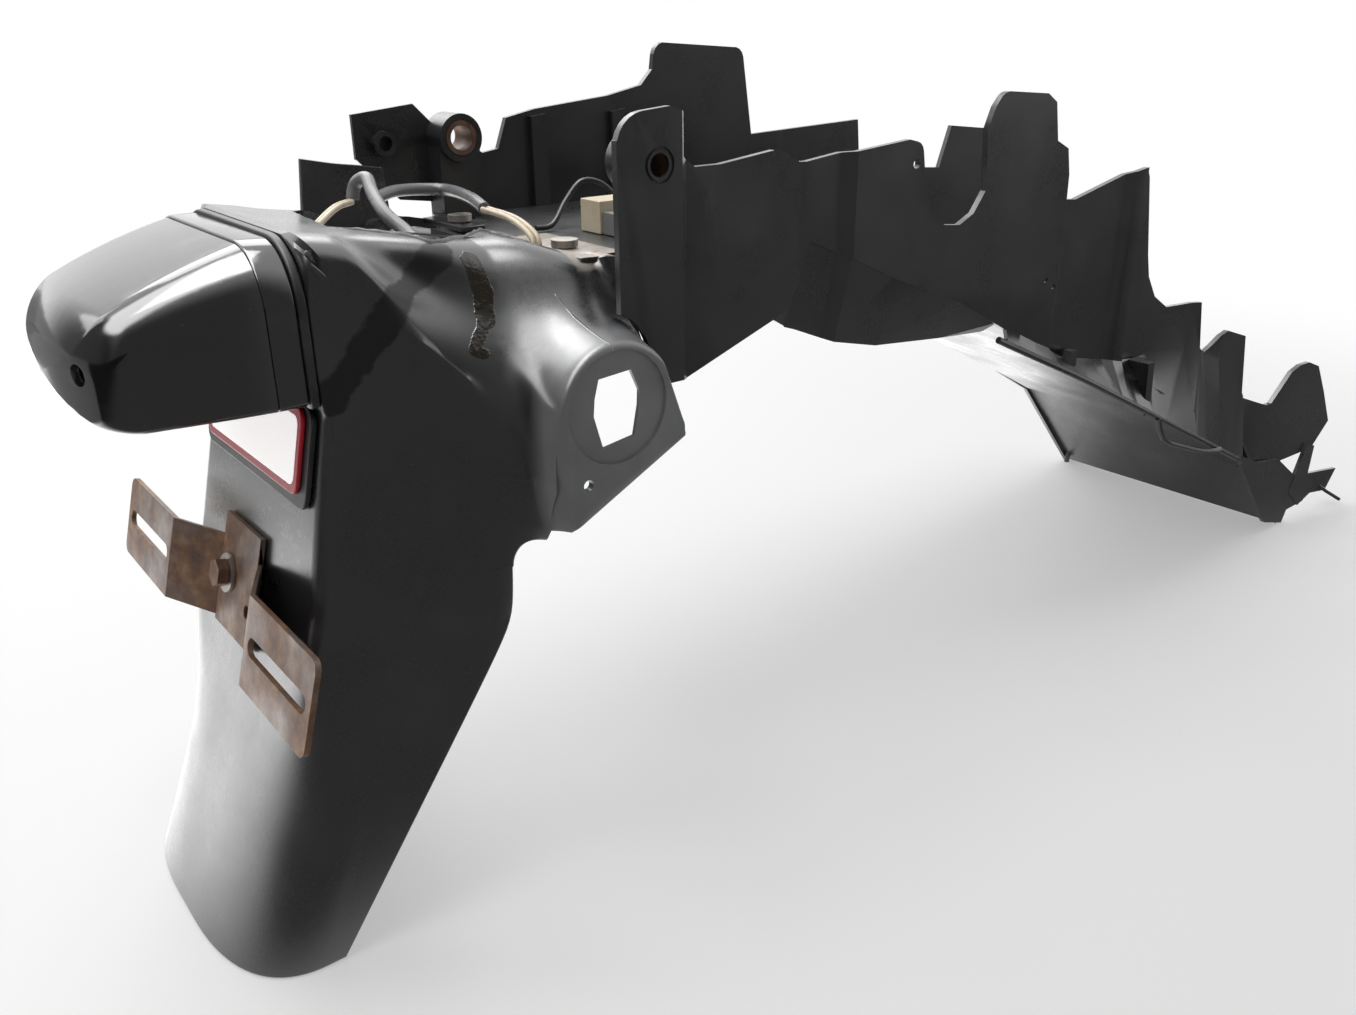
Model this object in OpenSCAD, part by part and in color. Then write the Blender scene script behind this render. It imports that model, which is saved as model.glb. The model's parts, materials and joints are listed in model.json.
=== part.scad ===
// Rear fender of a motorcycle: rear mudguard, undertray, lamp, plate bracket and wiring.
// X points to the front of the vehicle, Y to its left and Z up. The assembly stands on
// the mudguard's foot and on the front edge of the undertray, at Z = 0.

/* [Mouldings] */
// Thickness of the moulded walls
wall = 2.8; // [2.2:0.1:3.4]
// Clearance between separate pieces
gap = 0.3; // [0.2:0.05:0.4]

/* [Mudguard] */
// Half width of the flap at its foot
foot_half_w = 66; // [60:1:70]
// Half width of the sides beside the wheel
side_half_w = 72; // [70:1:74]
// Height of the fork where the flap's free edge turns into the side's lower edge
fork_h = 139.5; // [136:0.5:143]
// Rearward reach of the foot behind the fork
foot_reach = 128; // [122:1:132]
// Distance from the fork to the lamp face
face_reach = 66; // [64:1:67]
// Height of the crown above the fork
crown_rise = 111; // [109:0.5:114]
// Radius of the signal boss's arched top
boss_r = 24.5; // [22.5:0.5:25.5]
// Half width over the two signal faces
boss_half_w = 92; // [88:1:96]
// Diameter of the signal seat
seat_d = 41; // [36:1:43]
// Diameter of the signal's locating screw hole
locate_d = 4; // [3:0.5:5]

/* [Lamp] */
// Half width of the lamp face
lamp_half_w = 54; // [50:1:56]
// Height of the lamp face
lamp_h = 54; // [50:1:56]
// Length of the lamp's cover
cover_len = 59; // [52:1:62]
// Thickness of the lamp's cover
cover_t = 2.4; // [1.8:0.1:3]
// Depth of the lamp's base
base_len = 10; // [8:0.5:12]
// Thickness of the rubber seal
seal_t = 3; // [2:0.5:4]

/* [Plate bracket] */
// Thickness of the sheet steel
steel_t = 2; // [1.5:0.25:2.5]
// Distance between the two slots' centres
slot_pitch = 142; // [138:1:146]
// Length of a slot from end to end
slot_len = 50; // [44:1:52]
// Width of a slot
slot_w = 6.8; // [6.4:0.2:7.4]
// Height of the two tabs
tab_h = 33; // [28:1:36]
// Length of each tab
tab_len = 58; // [56:1:62]

/* [Undertray] */
// Half width over the two side walls
tray_half_w = 77; // [75:1:79]
// Height of the mounting eyes above the ground
eye_h = 275; // [270:1:280]
// Bore of the mounting eyes
eye_d = 10.5; // [8:0.5:12]
// Width of the mounting posts
post_w = 29; // [27:1:32]

/* [Wiring] */
// Diameter of the wiring sheath
sheath_d = 5; // [4:0.5:6]
// Diameter of a single lead
lead_d = 2.2; // [1.6:0.2:2.6]

/* [Hidden] */

black_plastic = [0.06, 0.06, 0.065];
gloss_black = [0.035, 0.035, 0.04];
rubber_black = [0.08, 0.08, 0.08];
rusty_steel = [0.42, 0.3, 0.22];
zinc = [0.6, 0.6, 0.58];

// Fork: the line across the wheel from which the mudguard's upper sections fan out
fork_x = -254;
fork_r = 11;
face_x = fork_x - face_reach;
face_low = fork_h + 65.5;
face_top = face_low + lamp_h + 2;
crown_h = fork_h + crown_rise;
boss_x = -229.5;
boss_z = fork_h + 57;
boss_back = boss_x - 24.5;
boss_front = -200;
boss_drop = boss_z - 41.8;
boss_slope = 0.5;
joint_lean = 0.2;

// Points of an arc about (cx, cy) from angle a to angle b
function arc(cx, cy, r, a, b, n) = [for (i = [0:n]) [cx + r * cos(a + (b - a) * i / n), cy + r * sin(a + (b - a) * i / n)]];
function mix(a, b, t) = a + (b - a) * t;
function smooth(t) = let(u = min(1, max(0, t))) u * u * (3 - 2 * u);
function bend(p, q, r, t) = (1 - t) * (1 - t) * p + 2 * t * (1 - t) * q + t * t * r;
function reverse(v) = [for (i = [len(v) - 1:-1:0]) v[i]];

// Half of one open section as [half width, distance from the free edge's datum]:
// a side, a corner bent about its control point, and a flat crown
side_n = 6;
corner_n = 9;
crown_n = 3;
function half_section(foot, free, shoulder, control, flat) = concat(
  [for (i = [0:side_n - 1]) mix([foot, free], shoulder, i / side_n)],
  [for (i = [0:corner_n - 1]) bend(shoulder, control, flat, i / corner_n)],
  [for (i = [0:crown_n]) mix(flat, [0, flat[1]], i / crown_n)]);
// The same with a small rounded edge at the shoulder, then a hollow bend up to the crown
edge_n = 3;
function boss_section(foot, free, shoulder, r, control, flat) = concat(
  [for (i = [0:side_n - 1]) mix([foot, free], shoulder - [0, r], i / side_n)],
  [for (i = [0:edge_n - 1]) shoulder - [r, r] + r * [cos(90 * i / edge_n), sin(90 * i / edge_n)]],
  [for (i = [0:corner_n - edge_n - 1]) bend(shoulder - [r, 0], control, flat, i / (corner_n - edge_n))],
  [for (i = [0:crown_n]) mix(flat, [0, flat[1]], i / crown_n)]);
// The same section over its whole width, from the left free edge to the right one
function both_sides(h) = concat(h, [for (i = [len(h) - 2:-1:0]) [-h[i][0], h[i][1]]]);
function section(foot, side, depth, free, rx, ry) =
  both_sides(half_section(foot, free, [side, depth - rx], [side, depth], [side - ry, depth]));

// Closed shell between an outer and an inner set of open sections
module shell(outer, inner) {
  n = len(outer[0]);
  m = len(outer);
  o = m * n;
  skin = [for (j = [0:m - 2], i = [0:n - 2]) each [
    [j * n + i, j * n + i + 1, (j + 1) * n + i + 1],
    [j * n + i, (j + 1) * n + i + 1, (j + 1) * n + i]]];
  lining = [for (f = skin) [f[2] + o, f[1] + o, f[0] + o]];
  edges = [for (j = [0:m - 2], e = [0, n - 1])
    let(a = j * n + e, b = a + n, q = [[a, b, b + o], [a, b + o, a + o]])
    each (e == 0 ? q : [for (f = q) reverse(f)])];
  ends = [for (j = [0, m - 1], i = [0:n - 2])
    let(a = j * n + i, b = a + 1, q = [[b, a, a + o], [b, a + o, b + o]])
    each (j == 0 ? q : [for (f = q) reverse(f)])];
  polyhedron(concat([for (s = outer) each s], [for (s = inner) each s]),
    [for (f = concat(skin, lining, edges, ends)) reverse(f)]);
}

// Solid through closed rings of equal count, with flat ends
module loft(rings) {
  n = len(rings[0]);
  m = len(rings);
  sides = [for (j = [0:m - 2], i = [0:n - 1]) let(k = (i + 1) % n) each [
    [j * n + i, j * n + k, (j + 1) * n + k],
    [j * n + i, (j + 1) * n + k, (j + 1) * n + i]]];
  polyhedron([for (r = rings) each r],
    concat(sides, [[for (i = [n - 1:-1:0]) i]], [[for (i = [0:n - 1]) (m - 1) * n + i]]));
}

// Tube along a route, with one ring at each point
function unit(v) = v / norm(v);
module tube(route, d, sides = 8) {
  n = len(route);
  rings = [for (i = [0:n - 1])
    let(t = unit(route[min(i + 1, n - 1)] - route[max(i - 1, 0)]),
      side = unit(cross(t, abs(t[2]) > 0.9 ? [1, 0, 0] : [0, 0, 1])), up = cross(side, t))
    [for (k = [0:sides - 1]) route[i] + d / 2 * (cos(360 * k / sides) * side + sin(360 * k / sides) * up)]];
  loft(rings);
}
// Rounder route through a few chosen points
function rounder(p, steps) = concat([for (i = [0:len(p) - 2], k = [0:steps - 1])
  let(t = k / steps, a = p[max(i - 1, 0)], b = p[i], c = p[i + 1], d = p[min(i + 2, len(p) - 1)])
  0.5 * (2 * b + (c - a) * t + (2 * a - 5 * b + 4 * c - d) * t * t + (3 * b - a - 3 * c + d) * t * t * t)],
  [p[len(p) - 1]]);

// Flat plate parallel to the side walls, from an outline in X and Z
module side_plate(outline, y, t) {
  translate([0, y + t, 0]) rotate([90, 0, 0]) linear_extrude(t) polygon(outline);
}
module across(x, z, d, y0, y1, fn = 48) {
  translate([x, y1, z]) rotate([90, 0, 0]) cylinder(h = y1 - y0, d = d, $fn = fn);
}
module along(x, y, z, d, length, fn = 48) {
  translate([x, y, z]) rotate([0, 90, 0]) cylinder(h = length, d = d, $fn = fn);
}

// Rear face of the flap: distance behind the fork at height z
rear_at_fork = 80;
function rear_reach(z) = let(s = 1 - z / fork_h) rear_at_fork + (foot_reach - rear_at_fork) * (0.77 * s + 0.23 * s * s);
// Free edge of the flap: distance behind the fork at height z
function free_reach(z) = let(u = 0.85 - z / fork_h) fork_r + 46.5 * (u + sqrt(u * u + 0.003));
flap_levels = [0, 4, 10, 20, 32, 46, 60, 74, 86, 97, 108, 118, 128, 139.5];
function flap_station(z, t) = let(s = z / fork_h, k = smooth((z - 0.37 * fork_h) / (0.53 * fork_h)),
  side = mix(foot_half_w, 61, k), rx = mix(32, 15, k), ry = mix(56, 18, k))
  [for (p = section(mix(foot_half_w, side_half_w, s) - t, side - t, rear_reach(z) - t, free_reach(z), rx - t, ry - t))
    [fork_x - p[1], p[0], z]];

// Fan of sections about the fork: up the rear face, over the lamp face and onto the crown
fan_angles = [7, 14, 22, 30, 38, 44.6, 45.6, 49, 52, 55, 57, 58.5, 59.8, 60.8, 61.4, 62.2, 63.5, 66, 69.5, 73, 76.5, 79.5, 82, 84, 85.5, 86.8, 88, 89, 90];
face_from = 45.2;
face_to = 61;
function fan_depth(a, t) = let(
  rear = (rear_at_fork - t) / (cos(a) + 0.225 * sin(a)),
  face = (face_reach - t) / max(0.01, cos(a)),
  top = (crown_rise - t) / (sin(a) - 0.16 * cos(a)))
  a < face_from ? rear : (a < face_to ? face : (a < 62 ? min(face, top) - 0.8 : top));
arch_flat = 28;
function face_flat(z) = let(low = face_top - 28) z < low ? lamp_half_w - 1 : arch_flat - 2 + sqrt(max(0, pow(27, 2) - pow(z - low, 2)));
// Swell of the sides into the signal bosses: added half width at (x, z)
swell_w = boss_half_w - side_half_w;
function swell(x, z) = let(d = x - boss_back + 10 - 0.2 * max(0, boss_z - 21.5 - z))
  d <= 0 ? 0 : (d < 9.5 ? 0.8 * swell_w * pow(d / 9.5, 3) : swell_w * (0.8 + 0.2 * sqrt(max(0, 1 - pow(max(0, 14 - d) / 4.5, 2)))));
function swollen(x, z, t) = swell(x - 0.8 * t, z) * (1 - smooth((z - boss_z - 3.5) / 25));
function crown_flat(x) = mix(48, 68, (x - boss_back) / 50);
function crown_z(x) = mix(crown_h, knee_z + gap + wall, smooth((x - boss_back - 9) / 31));
function fan_station(a, t) = let(d = fan_depth(a, t),
  on_face = a > face_from && a < 62, above = a >= 62, up = smooth((a - 62) / 24), k = smooth((a - 72) / 18),
  side = (a < face_from ? mix(61, lamp_half_w, a / face_from) : (above ? mix(lamp_half_w, side_half_w, (a - 62) / 28) : lamp_half_w)) - t,
  flat = on_face ? face_flat(fork_h + d * sin(a)) : (side + t - (above ? mix(27, 14, up) : mix(18, 4, a / face_from))),
  rx = max(0.6, on_face ? mix(2.5, 24, pow(max(0, side + t - flat) / 28, 2)) : (above ? mix(27, 14, up) : mix(15, 4, a / face_from)) - t),
  ry = max(0.6, side - flat), foot = side_half_w - t, high = (boss_z + 6 - fork_h) / sin(a),
  plain = half_section(foot, fork_r, [side, d - rx], [side, d], [side - ry, d]),
  boss = a < 72 ? plain : boss_section(foot, fork_r, [foot, high - 0.4 * t], 3, [crown_flat(boss_back) + 5 - t, high + 5], [crown_flat(boss_back) - t, d]),
  h = [for (i = [0:len(plain) - 1]) mix(plain[i], boss[i], k)])
  [for (p = both_sides(h)) let(x = fork_x - p[1] * cos(a), z = fork_h + p[1] * sin(a))
    [x, p[0] + (p[0] > 40 ? 1 : (p[0] < -40 ? -1 : 0)) * swollen(x, z, t), z]];

// Stations along the signal bosses, measured from their back
boss_steps = [0.6, 1.6, 4, 7, 11, 16, 20.5, 24.5, 29, 33, 37, 40, 43, 46, 48.5, 51, 54];
boss_tip = boss_x + boss_r;
function arch_height(x) = let(arch = boss_z + sqrt(max(0, boss_r * boss_r - pow(x - boss_x, 2))), line = boss_z + 2.5 - 2.78 * (x - boss_tip + 0.4))
  x < boss_x ? max(arch, boss_z + 5) : (x > boss_tip - 2 ? line : min(arch, line));
function lower_height(x) = boss_drop + (x - boss_back) * boss_slope;
function boss_station(i, t) = let(x = boss_back + boss_steps[i], low = lower_height(x), high = arch_height(x) - 0.7 * t,
  foot = side_half_w + swell(x - 0.8 * t, low) - t, y = side_half_w + swell(x - 0.8 * t, high) - t,
  flat = crown_flat(x) - t, lean = joint_lean * smooth((x + 245) / 45), r = min(3, 0.4 * (high - low)),
  h = boss_section(foot, low, [y, high], r, [flat + 5, high + 5], [flat, crown_z(x) - t]))
  [for (p = both_sides(h)) [x - lean * max(0, p[1] - high), p[0], p[1]]];

// Rough opening cut through the crown for the wiring, seen from above
opening_cut = [[-297, -20], [-283, -27], [-277, -33], [-273, -46], [-266, -43], [-250, -30], [-236, -18],
  [-233, -20], [-232, -42], [-222, -46], [-204, -70], [-190, -72], [-190, 62], [-222, 58], [-240, 56],
  [-268, 52], [-281, 44], [-290, 30], [-293, 6]];

module shell_body() {
  shell(
    concat([for (z = flap_levels) flap_station(z * fork_h / 139.5, 0)], [for (a = fan_angles) fan_station(a, 0)],
      [for (i = [0:len(boss_steps) - 1]) boss_station(i, 0)]),
    concat([for (z = flap_levels) flap_station(z * fork_h / 139.5, wall)], [for (a = fan_angles) fan_station(a, wall)],
      [for (i = [0:len(boss_steps) - 1]) boss_station(i, wall)]));
}
// Flat-sided hole for a signal's stalk
stalk_w = 19;
stalk_h = 26;
stalk_outline = [[-stalk_w / 2 - 1, -0.6], [-stalk_w / 2 - 0.4, 5.5], [-stalk_w / 2 + 1.5, stalk_h / 2 - 0.8], [stalk_w / 2 - 4, stalk_h / 2 + 0.3],
  [stalk_w / 2 - 0.4, 5.2], [stalk_w / 2 - 0.7, -0.2], [stalk_w / 2 - 3, 2 - stalk_h / 2], [2.5 - stalk_w / 2, -stalk_h / 2]];
module rear_mudguard() {
  color(black_plastic) {
    joint_flanges();
    difference() {
    shell_body();
    translate([0, 0, min(crown_h - 22, knee_z - 12.5)]) linear_extrude(70) polygon(opening_cut);
    for (s = [-1, 1]) {
      side_plate([for (p = stalk_outline) [boss_x + p[0], boss_z + p[1]]], s * boss_half_w - 8, 16);
      across(boss_x - 0.5, boss_z + 1, seat_d, s * (boss_half_w + 10) - 11.2, s * (boss_half_w + 10) + 11.2, 64);
      across(boss_x - 14.5, boss_z - 24.5, locate_d, s * boss_half_w - 8, s * boss_half_w + 8);
    }
    along(face_x - 5, 0, face_low + 26, 26, 12);
    for (s = [-1, 1]) along(face_x - 5, s * 40, face_low + 20, 6.5, 12);
    plate_frame() along(-12, bracket_bolt_y, 0, 6.6, 24);
    }
    left_fin();
  }
}
// Flanges that lie on the undertray's ledge
module joint_flanges() {
  for (s = [0, 1]) mirror([0, s, 0]) difference() {
    translate([0, 0, knee_z + gap + 0.2]) linear_extrude(2.2) polygon([[-223, 26], [-223, 61], [-212, 63], [-212, 26]]);
    translate([joint_x, joint_y, knee_z - 5]) cylinder(h = 20, d = joint_d + 2 * gap, $fn = 32);
  }
}
// Upright fin beside the opening, on the left only
module left_fin() {
  side_plate([[-277, crown_h - 9.5], [-274, crown_h + 21.5], [-262, crown_h + 19], [-240, crown_h + 15.5], [-238, crown_h - 10.5]], 58, wall);
}

// Undertray's floor: level beside the mudguard, then down along the wheel to the front edge
tray_back = -197;
ledge_back = -226;
ledge_half_w = 48;
knee_x = -101;
knee_z = 241;
bend_x = 251;
front_x = 317;
function floor_z(x) = knee_z - 0.43 * (x - knee_x) - 0.00013 * pow(x - knee_x, 2);
function base_z(x) = 230 - 0.5105 * (x - knee_x);
floor_line = concat([[tray_back, knee_z]], [for (i = [0:8]) let(x = mix(knee_x, bend_x, i / 8)) [x, floor_z(x)]], [[front_x, wall]]);
function lowered(line, d) = [for (p = line) [p[0], p[1] - d]];
wall_y = tray_half_w;

// Right wall seen from above: the post stands out and three shallow channels run down the wall
post_x = -190;
post_top = eye_h + 19;
post_back = post_x - post_w;
post_out = 2;
right_plan = [[-240, -post_out], [post_x - 1, -post_out], [post_x + 2, 0], [-131, 0], [-127, 4.5], [-106, 4.5], [-101, 0], [43, 0],
  [49, 3.5], [97, 3.5], [103, 0], [112, 0], [118, 4], [184, 4], [196, 0], [214, -3], [258, -7], [270, -9], [330, -11], [400, -13]];
function along_wall(t) = [for (p = right_plan) [p[0], p[1] - wall_y + t]];
floor_edge = concat([for (p = along_wall(wall / 2)) if (p[0] < 99) p], [for (p = [[103, -0.8], [112, 2.4], [131, 4.6], [146, 6.4], [195, 8.5], [233, 9],
  [251, 9.5], [317, 11.4]]) [p[0], -wall_y - p[1]]]);
// Its outline from the side: post, stepped top edge, tall tab, wedge, hook and pointed fin
right_top = concat(
  [[post_back, 225.8], [post_back, post_top - 10]], arc(post_back + 12, post_top - 13, 12, 165, 95, 5), [[post_x - 6, post_top], [post_x, post_top - 2]],
  [[post_x, 277], [-184, 273], [-172, 273], [-146, 276], [-141, 275], [-133, 271], [-125, 270], [-107, 272], [-71, 275]], arc(-67, 269, 5, 80, 10, 3),
  [[-58, 249], [-52, 241], [-45, 238], [-35, 237], [-26, 241], [-19, 250], [-21, 276], [-17, 285]], arc(-8, 283, 8, 130, 90, 3), [[20, 289], [27, 285],
  [31, 268], [40, 264], [46, 240], [56, 239], [104, 249]], arc(112, 241, 9, 100, 20, 4), [[130, 203], [134, 191], [143, 179], [157, 171], [191, 169],
  [195, 142], [198, 138], [205, 142], [212, 147], [218, 149], [237, 143], [245, 103], [273, 93], [279, 93], [298, 110], [308, 113], [319, 113],
  [333, 108], [348, 88], [364, 64], [347, 48]]);
right_base = [[304, 48], [283, 47], [257, 58], [240, 72], [233, 120], [212, 131], [200, 133], [195, 139], [146, 147], [131, 144], [86, 152], [62, 157],
  [31, 171], [5, 184], [-31, 202], [-75, 219], [-109, 234], [-121, 239], [-139, 214], [-188, 197], [-201.6, 197], [-202, 200], [-203.4, 203.8],
  [-205.6, 209], [-208, 215.4], [-210.6, 220.4], [-214.7, 223.6]];
module right_wall() {
  intersection() {
    side_plate(concat(right_top, right_base), -wall_y - 20, 40);
    translate([0, 0, -20]) linear_extrude(400) polygon(concat(along_wall(0), reverse(along_wall(wall))));
  }
}
// Bands through sections [x, upper y, upper z, lower y, lower z] of a wall's lower edge
module band(sections) {
  loft([for (s = sections) [[s[0], s[1] + wall - 0.8, s[2]], [s[0], s[3] + wall - 0.6, s[4]], [s[0], s[3], s[4]], [s[0], s[1], s[2]]]]);
}
bead_y = wall_y + 13;
function bead_z(x) = 174 - 0.474 * (x - 12);
function flare(x) = smooth((x + 12) / 80);
// Band that flares out below the right wall, down to its beaded edge
flare_line = [[6, 184], [12, 181], [18, 178.3], [24, 175.4], [31, 172], [43, 167], [49, 164], [62, 158], [86, 153], [97, 151], [103, 150], [112, 148], [118, 147], [131, 145.5], [146, 146.5],
  [184, 141.5], [196, 139], [214, 131], [233, 121], [247, 102]];
module flared_band() {
  band([for (p = flare_line) [p[0], lookup(p[0], right_plan) - wall_y + 0.4, p[1] + 1.5,
    -mix(wall_y + 1, bead_y, flare(p[0])), bead_z(p[0])]]);
  tube([for (x = [0:12:250]) [x, 1 - mix(wall_y + 1, bead_y, flare(x)), bead_z(x)]], 3.4, 8);
}
left_top = concat([[-200, 262], [-189, 266], [-176, 268], [-171, 281], [-156, 284], [-115, 288], [-95, 292], [-88, 299], [-87, 306]],
  arc(-81, 305, 6, 170, 95, 3), [[-36, 308]], arc(-35, 302, 6, 80, 10, 3), [[-23, 265], [58, 268], [60, 250], [76, 240], [132, 236],
  [141, 260], [180, 256], [182, 200], [210, 168], [246, 140], [270, 84], [300, 60]]);
left_base = concat([[front_x - 4, 0], [bend_x - 2, floor_z(bend_x) - wall]],
  [for (i = [7:-1:0]) let(x = mix(knee_x, bend_x, i / 8)) [x, floor_z(x) - wall]],
  [[-125, 240], [-139, 216], [-188, 197], [-196, 197], [-197, 222], [-200, 232]]);

eye_x = -201;
eye_boss_d = 20;
eye_mouth_d = 8;
module undertray() {
  color(black_plastic) difference() {
    union() {
      intersection() {
        translate([0, 100, 0]) rotate([90, 0, 0]) linear_extrude(200) polygon(concat(floor_line, reverse(lowered(floor_line, wall))));
        translate([0, 0, -20]) linear_extrude(400) polygon(concat(floor_edge, [[317.5, wall_y - wall / 2], [-240, wall_y - wall / 2]]));
      }
      right_wall();
      flared_band();
      side_plate(concat(left_top, left_base), wall_y - wall, wall);
      left_lug();
      eye_bosses();
      ribs();
      front_fittings();
      lower_skirts();
      translate([ledge_back, -ledge_half_w, knee_z - wall]) cube([tray_back - ledge_back + 2, 2 * ledge_half_w, wall]);
    }
    for (s = [-1, 1]) across(eye_x, eye_h, eye_d + 2 * collar_t + 2 * gap, s * (wall_y - 8) - 8.2 + 0.2 * s, s * (wall_y - 8) + 8.2 + 0.2 * s);
    across(eye_x, eye_h, eye_mouth_d, -wall_y - 6, -wall_y + 6);
    difference() {
      across(eye_x, eye_h, eye_mouth_d + 4.6, -wall_y - post_out - 3, 0.7 - wall_y - post_out);
      across(eye_x, eye_h, eye_mouth_d + 2.4, -wall_y - post_out - 4, 1.7 - wall_y - post_out);
    }
    across(-66, 265, 4, -wall_y - 6, -wall_y + 6);
    across(34, 203, 3, -wall_y - 6, -wall_y + 6);
    across(41, 199, 3, -wall_y - 6, -wall_y + 6);
    for (s = [-1, 1]) translate([joint_x, s * joint_y, 200]) cylinder(h = 60, d = joint_d + 2 * gap, $fn = 32);
    translate([38, -wall_y - 20, 166]) rotate([0, 23, 0]) cube([20, 24, 3.2]);
  }
}
collar_t = 2;
// Lug of the left mounting eye, with its slanted front web and small locating ring
module left_lug() {
  side_plate([[-226, 250], [-244, 268], [-244, 286], [-216, 289], [-213, 286], [-207, 280], [-197, 279], [-190, 274], [-186, 268],
    [-176, 262], [-176, 238], [-194, 238], [-204, 247]], wall_y - wall + 0.4, wall - 0.8);
  difference() {
    across(-232, 274, 10, wall_y - 7, wall_y - wall / 2);
    across(-232, 274, 6, wall_y - 8, wall_y - wall);
  }
}
// Tubes that hold the eyes' steel collars
module eye_bosses() {
  for (s = [-1, 1]) across(eye_x, eye_h, eye_boss_d, s * (wall_y - 8) - 8 + 0.3 * s, s * (wall_y - 8) + 8 - 0.5 * s);
  translate([eye_x - eye_boss_d / 2 + 0.3, wall_y - 13.5, knee_z - 1]) cube([eye_boss_d - 0.6, 12.5, eye_h - knee_z - 3]);
}
// Stiffening ribs of the two walls
module ribs() {
  for (x = [-155.5, -110.5]) side_plate([[x - 4, 236], [x - 4, 281], [x + 4, 282], [x + 4, 236]], wall_y - wall - 3, 4);
  side_plate([[124, 147], [130, 147], [133, 117], [127, 117]], -wall_y - 9, 12);
  translate([122, -wall_y - 3.5, 145]) cube([10, 6, 2.5]);
  translate([59, -wall_y - 3, 156]) cube([5, 5, 8]);
  side_plate([[-184, 239], [-190, 258], [-190, 239]], -wall_y + wall - 0.4, 14);
}
// Clip loop, hooked end piece, outer flange, spike and peg at the front end
module front_fittings() {
  side_plate([[270, 56], [297, 52], [352, 17], [348, 9], [325, 8.5], [321, 0], [296, 7], [290, 12], [246, 60], [246, 66]], -bead_y, wall);
  translate([268, -bead_y, 50]) rotate([0, 36, 0]) cube([60, 13, wall]);
  side_plate([[336, 54], [347, 50], [346, 30], [391, 23], [380, 9], [356, 13], [340, 8], [322, 22]], -bead_y - 0.4, wall - 0.4);
  tube([[368, 1.2 - bead_y, 16], [376, -bead_y - 3, 10], [386, -bead_y - 9, 3]], 2.4, 8);
  translate([front_x - 6, wall_y - 4, 0]) cylinder(h = 10, d = 4, $fn = 24);
  tube([for (p = [[135, -1], [138, -6], [144, -10.5], [152, -11], [166, -9.5], [180, -8], [195, -5.5], [206, -2.5], [213, 0]])
    [p[0], -bead_y - 0.5, bead_z(p[0]) + p[1]]], 3.2, 8);
}
// Skirts that lean inwards below the walls, beside the wheel; the right one carries on the wall's channel
skirt_line = [[-138, 216, 210, 0], [-131, 227, 206, 0], [-127, 232, 204, 1], [-121, 240, 202, 1], [-106, 234, 196, 1], [-101, 231, 194, 0],
  [-75, 220, 188, 0], [-31, 203, 184, 0], [0, 187, 182, 0]];
module lower_skirts() {
  band([for (p = skirt_line) [p[0], -wall_y + 0.4 + 4.5 * p[3], p[1] + 1, -wall_y + 9 + 3.5 * p[3], p[2]]]);
  mirror([0, 1, 0]) band([for (p = skirt_line) [p[0], -wall_y + 0.4, p[1] + 1, -wall_y + 9, p[2]]]);
}

// Outline of the lamp's face, flat below with rounded upper corners
lamp_mid = face_low + 1;
function lamp_outline(half_w, h, r, n = 6) = concat([[-half_w + 3, 0], [half_w - 3, 0], [half_w, 3]],
  arc(half_w - r, h - r, r, 0, 90, n), arc(r - half_w, h - r, r, 90, 180, n), [[-half_w, 3]]);
module lamp_slice(x0, length, inset) {
  translate([x0, 0, lamp_mid]) rotate([90, 0, -90]) linear_extrude(length)
    polygon([for (p = lamp_outline(lamp_half_w - inset, lamp_h - 2 * inset, 28 - inset)) [p[0], p[1] + inset]]);
}
seal_x = face_x - gap / 2;
base_x = seal_x - seal_t - gap / 2;
cover_x = base_x - base_len - gap / 2;
module lamp_seal() {
  color(rubber_black) difference() {
    lamp_slice(seal_x, seal_t, 0);
    translate([1, 0, 0]) lamp_slice(seal_x, seal_t + 2, 5);
    }
}
module lamp_base() {
  color(gloss_black) difference() {
    lamp_slice(base_x, base_len, 1);
    translate([-wall, 0, 0]) lamp_slice(base_x, base_len, 1 + wall);
    along(base_x - base_len, 0, face_low + 26, holder_d + 2 * gap, base_len + 5);
    for (s = [-1, 1]) along(base_x - base_len, s * 40, face_low + 20, 5.4, base_len + 5);
  }
}
// Sections of the cover from its open end to its rounded tip
cover_steps = [0, 0.25, 0.5, 0.7, 0.82, 0.91, 0.97, 1];
function cover_ring(s, t) = let(
  tip = 1 - sqrt(max(0, 1 - pow(max(0, (s - 0.68) / 0.34), 2))),
  w = mix(lamp_half_w - 1, lamp_half_w - 8, s) - t - 10 * tip,
  top = mix(lamp_h - 2, lamp_h - 22, s * s * 0.4 + s * 0.6) - t - 15 * tip,
  low = 1 + t + 4 * tip, r = min(mix(27, 17, s) - t * 0.5, (top - low) * 0.7))
  [for (p = lamp_outline(w, top - low, max(4, r)))
    [cover_x - (cover_len - t) * s + tip_bulge * s * s * pow(p[0] / lamp_half_w, 2), p[0], lamp_mid + low + p[1]]];
tip_bulge = 16;
module lamp_cover() {
  color(gloss_black) difference() {
    loft([for (s = cover_steps) cover_ring(s, 0)]);
    translate([0.01, 0, 0]) loft([for (s = cover_steps) cover_ring(s, cover_t)]);
    translate([cover_x - 40, -20, lamp_mid - 2]) cube([28, 40, 8]);
    for (s = [-1, 1]) along(cover_x - cover_len - 4, s * screw_y, screw_z, 7, 30);
  }
}
screw_y = 33;
screw_z = face_low + 20;
lens_t = 2;
module lamp_lens() {
  color([0.9, 0.92, 0.92, 0.4]) translate([cover_x - 40 + gap, -20 + gap, lamp_mid + 1]) cube([28 - 2 * gap, 40 - 2 * gap, lens_t]);
}
holder_d = 20;
module bulb_holder() {
  color(rubber_black) {
    along(base_x - base_len - 6, 0, face_low + 26, holder_d, base_len + 14);
  }
}
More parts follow.
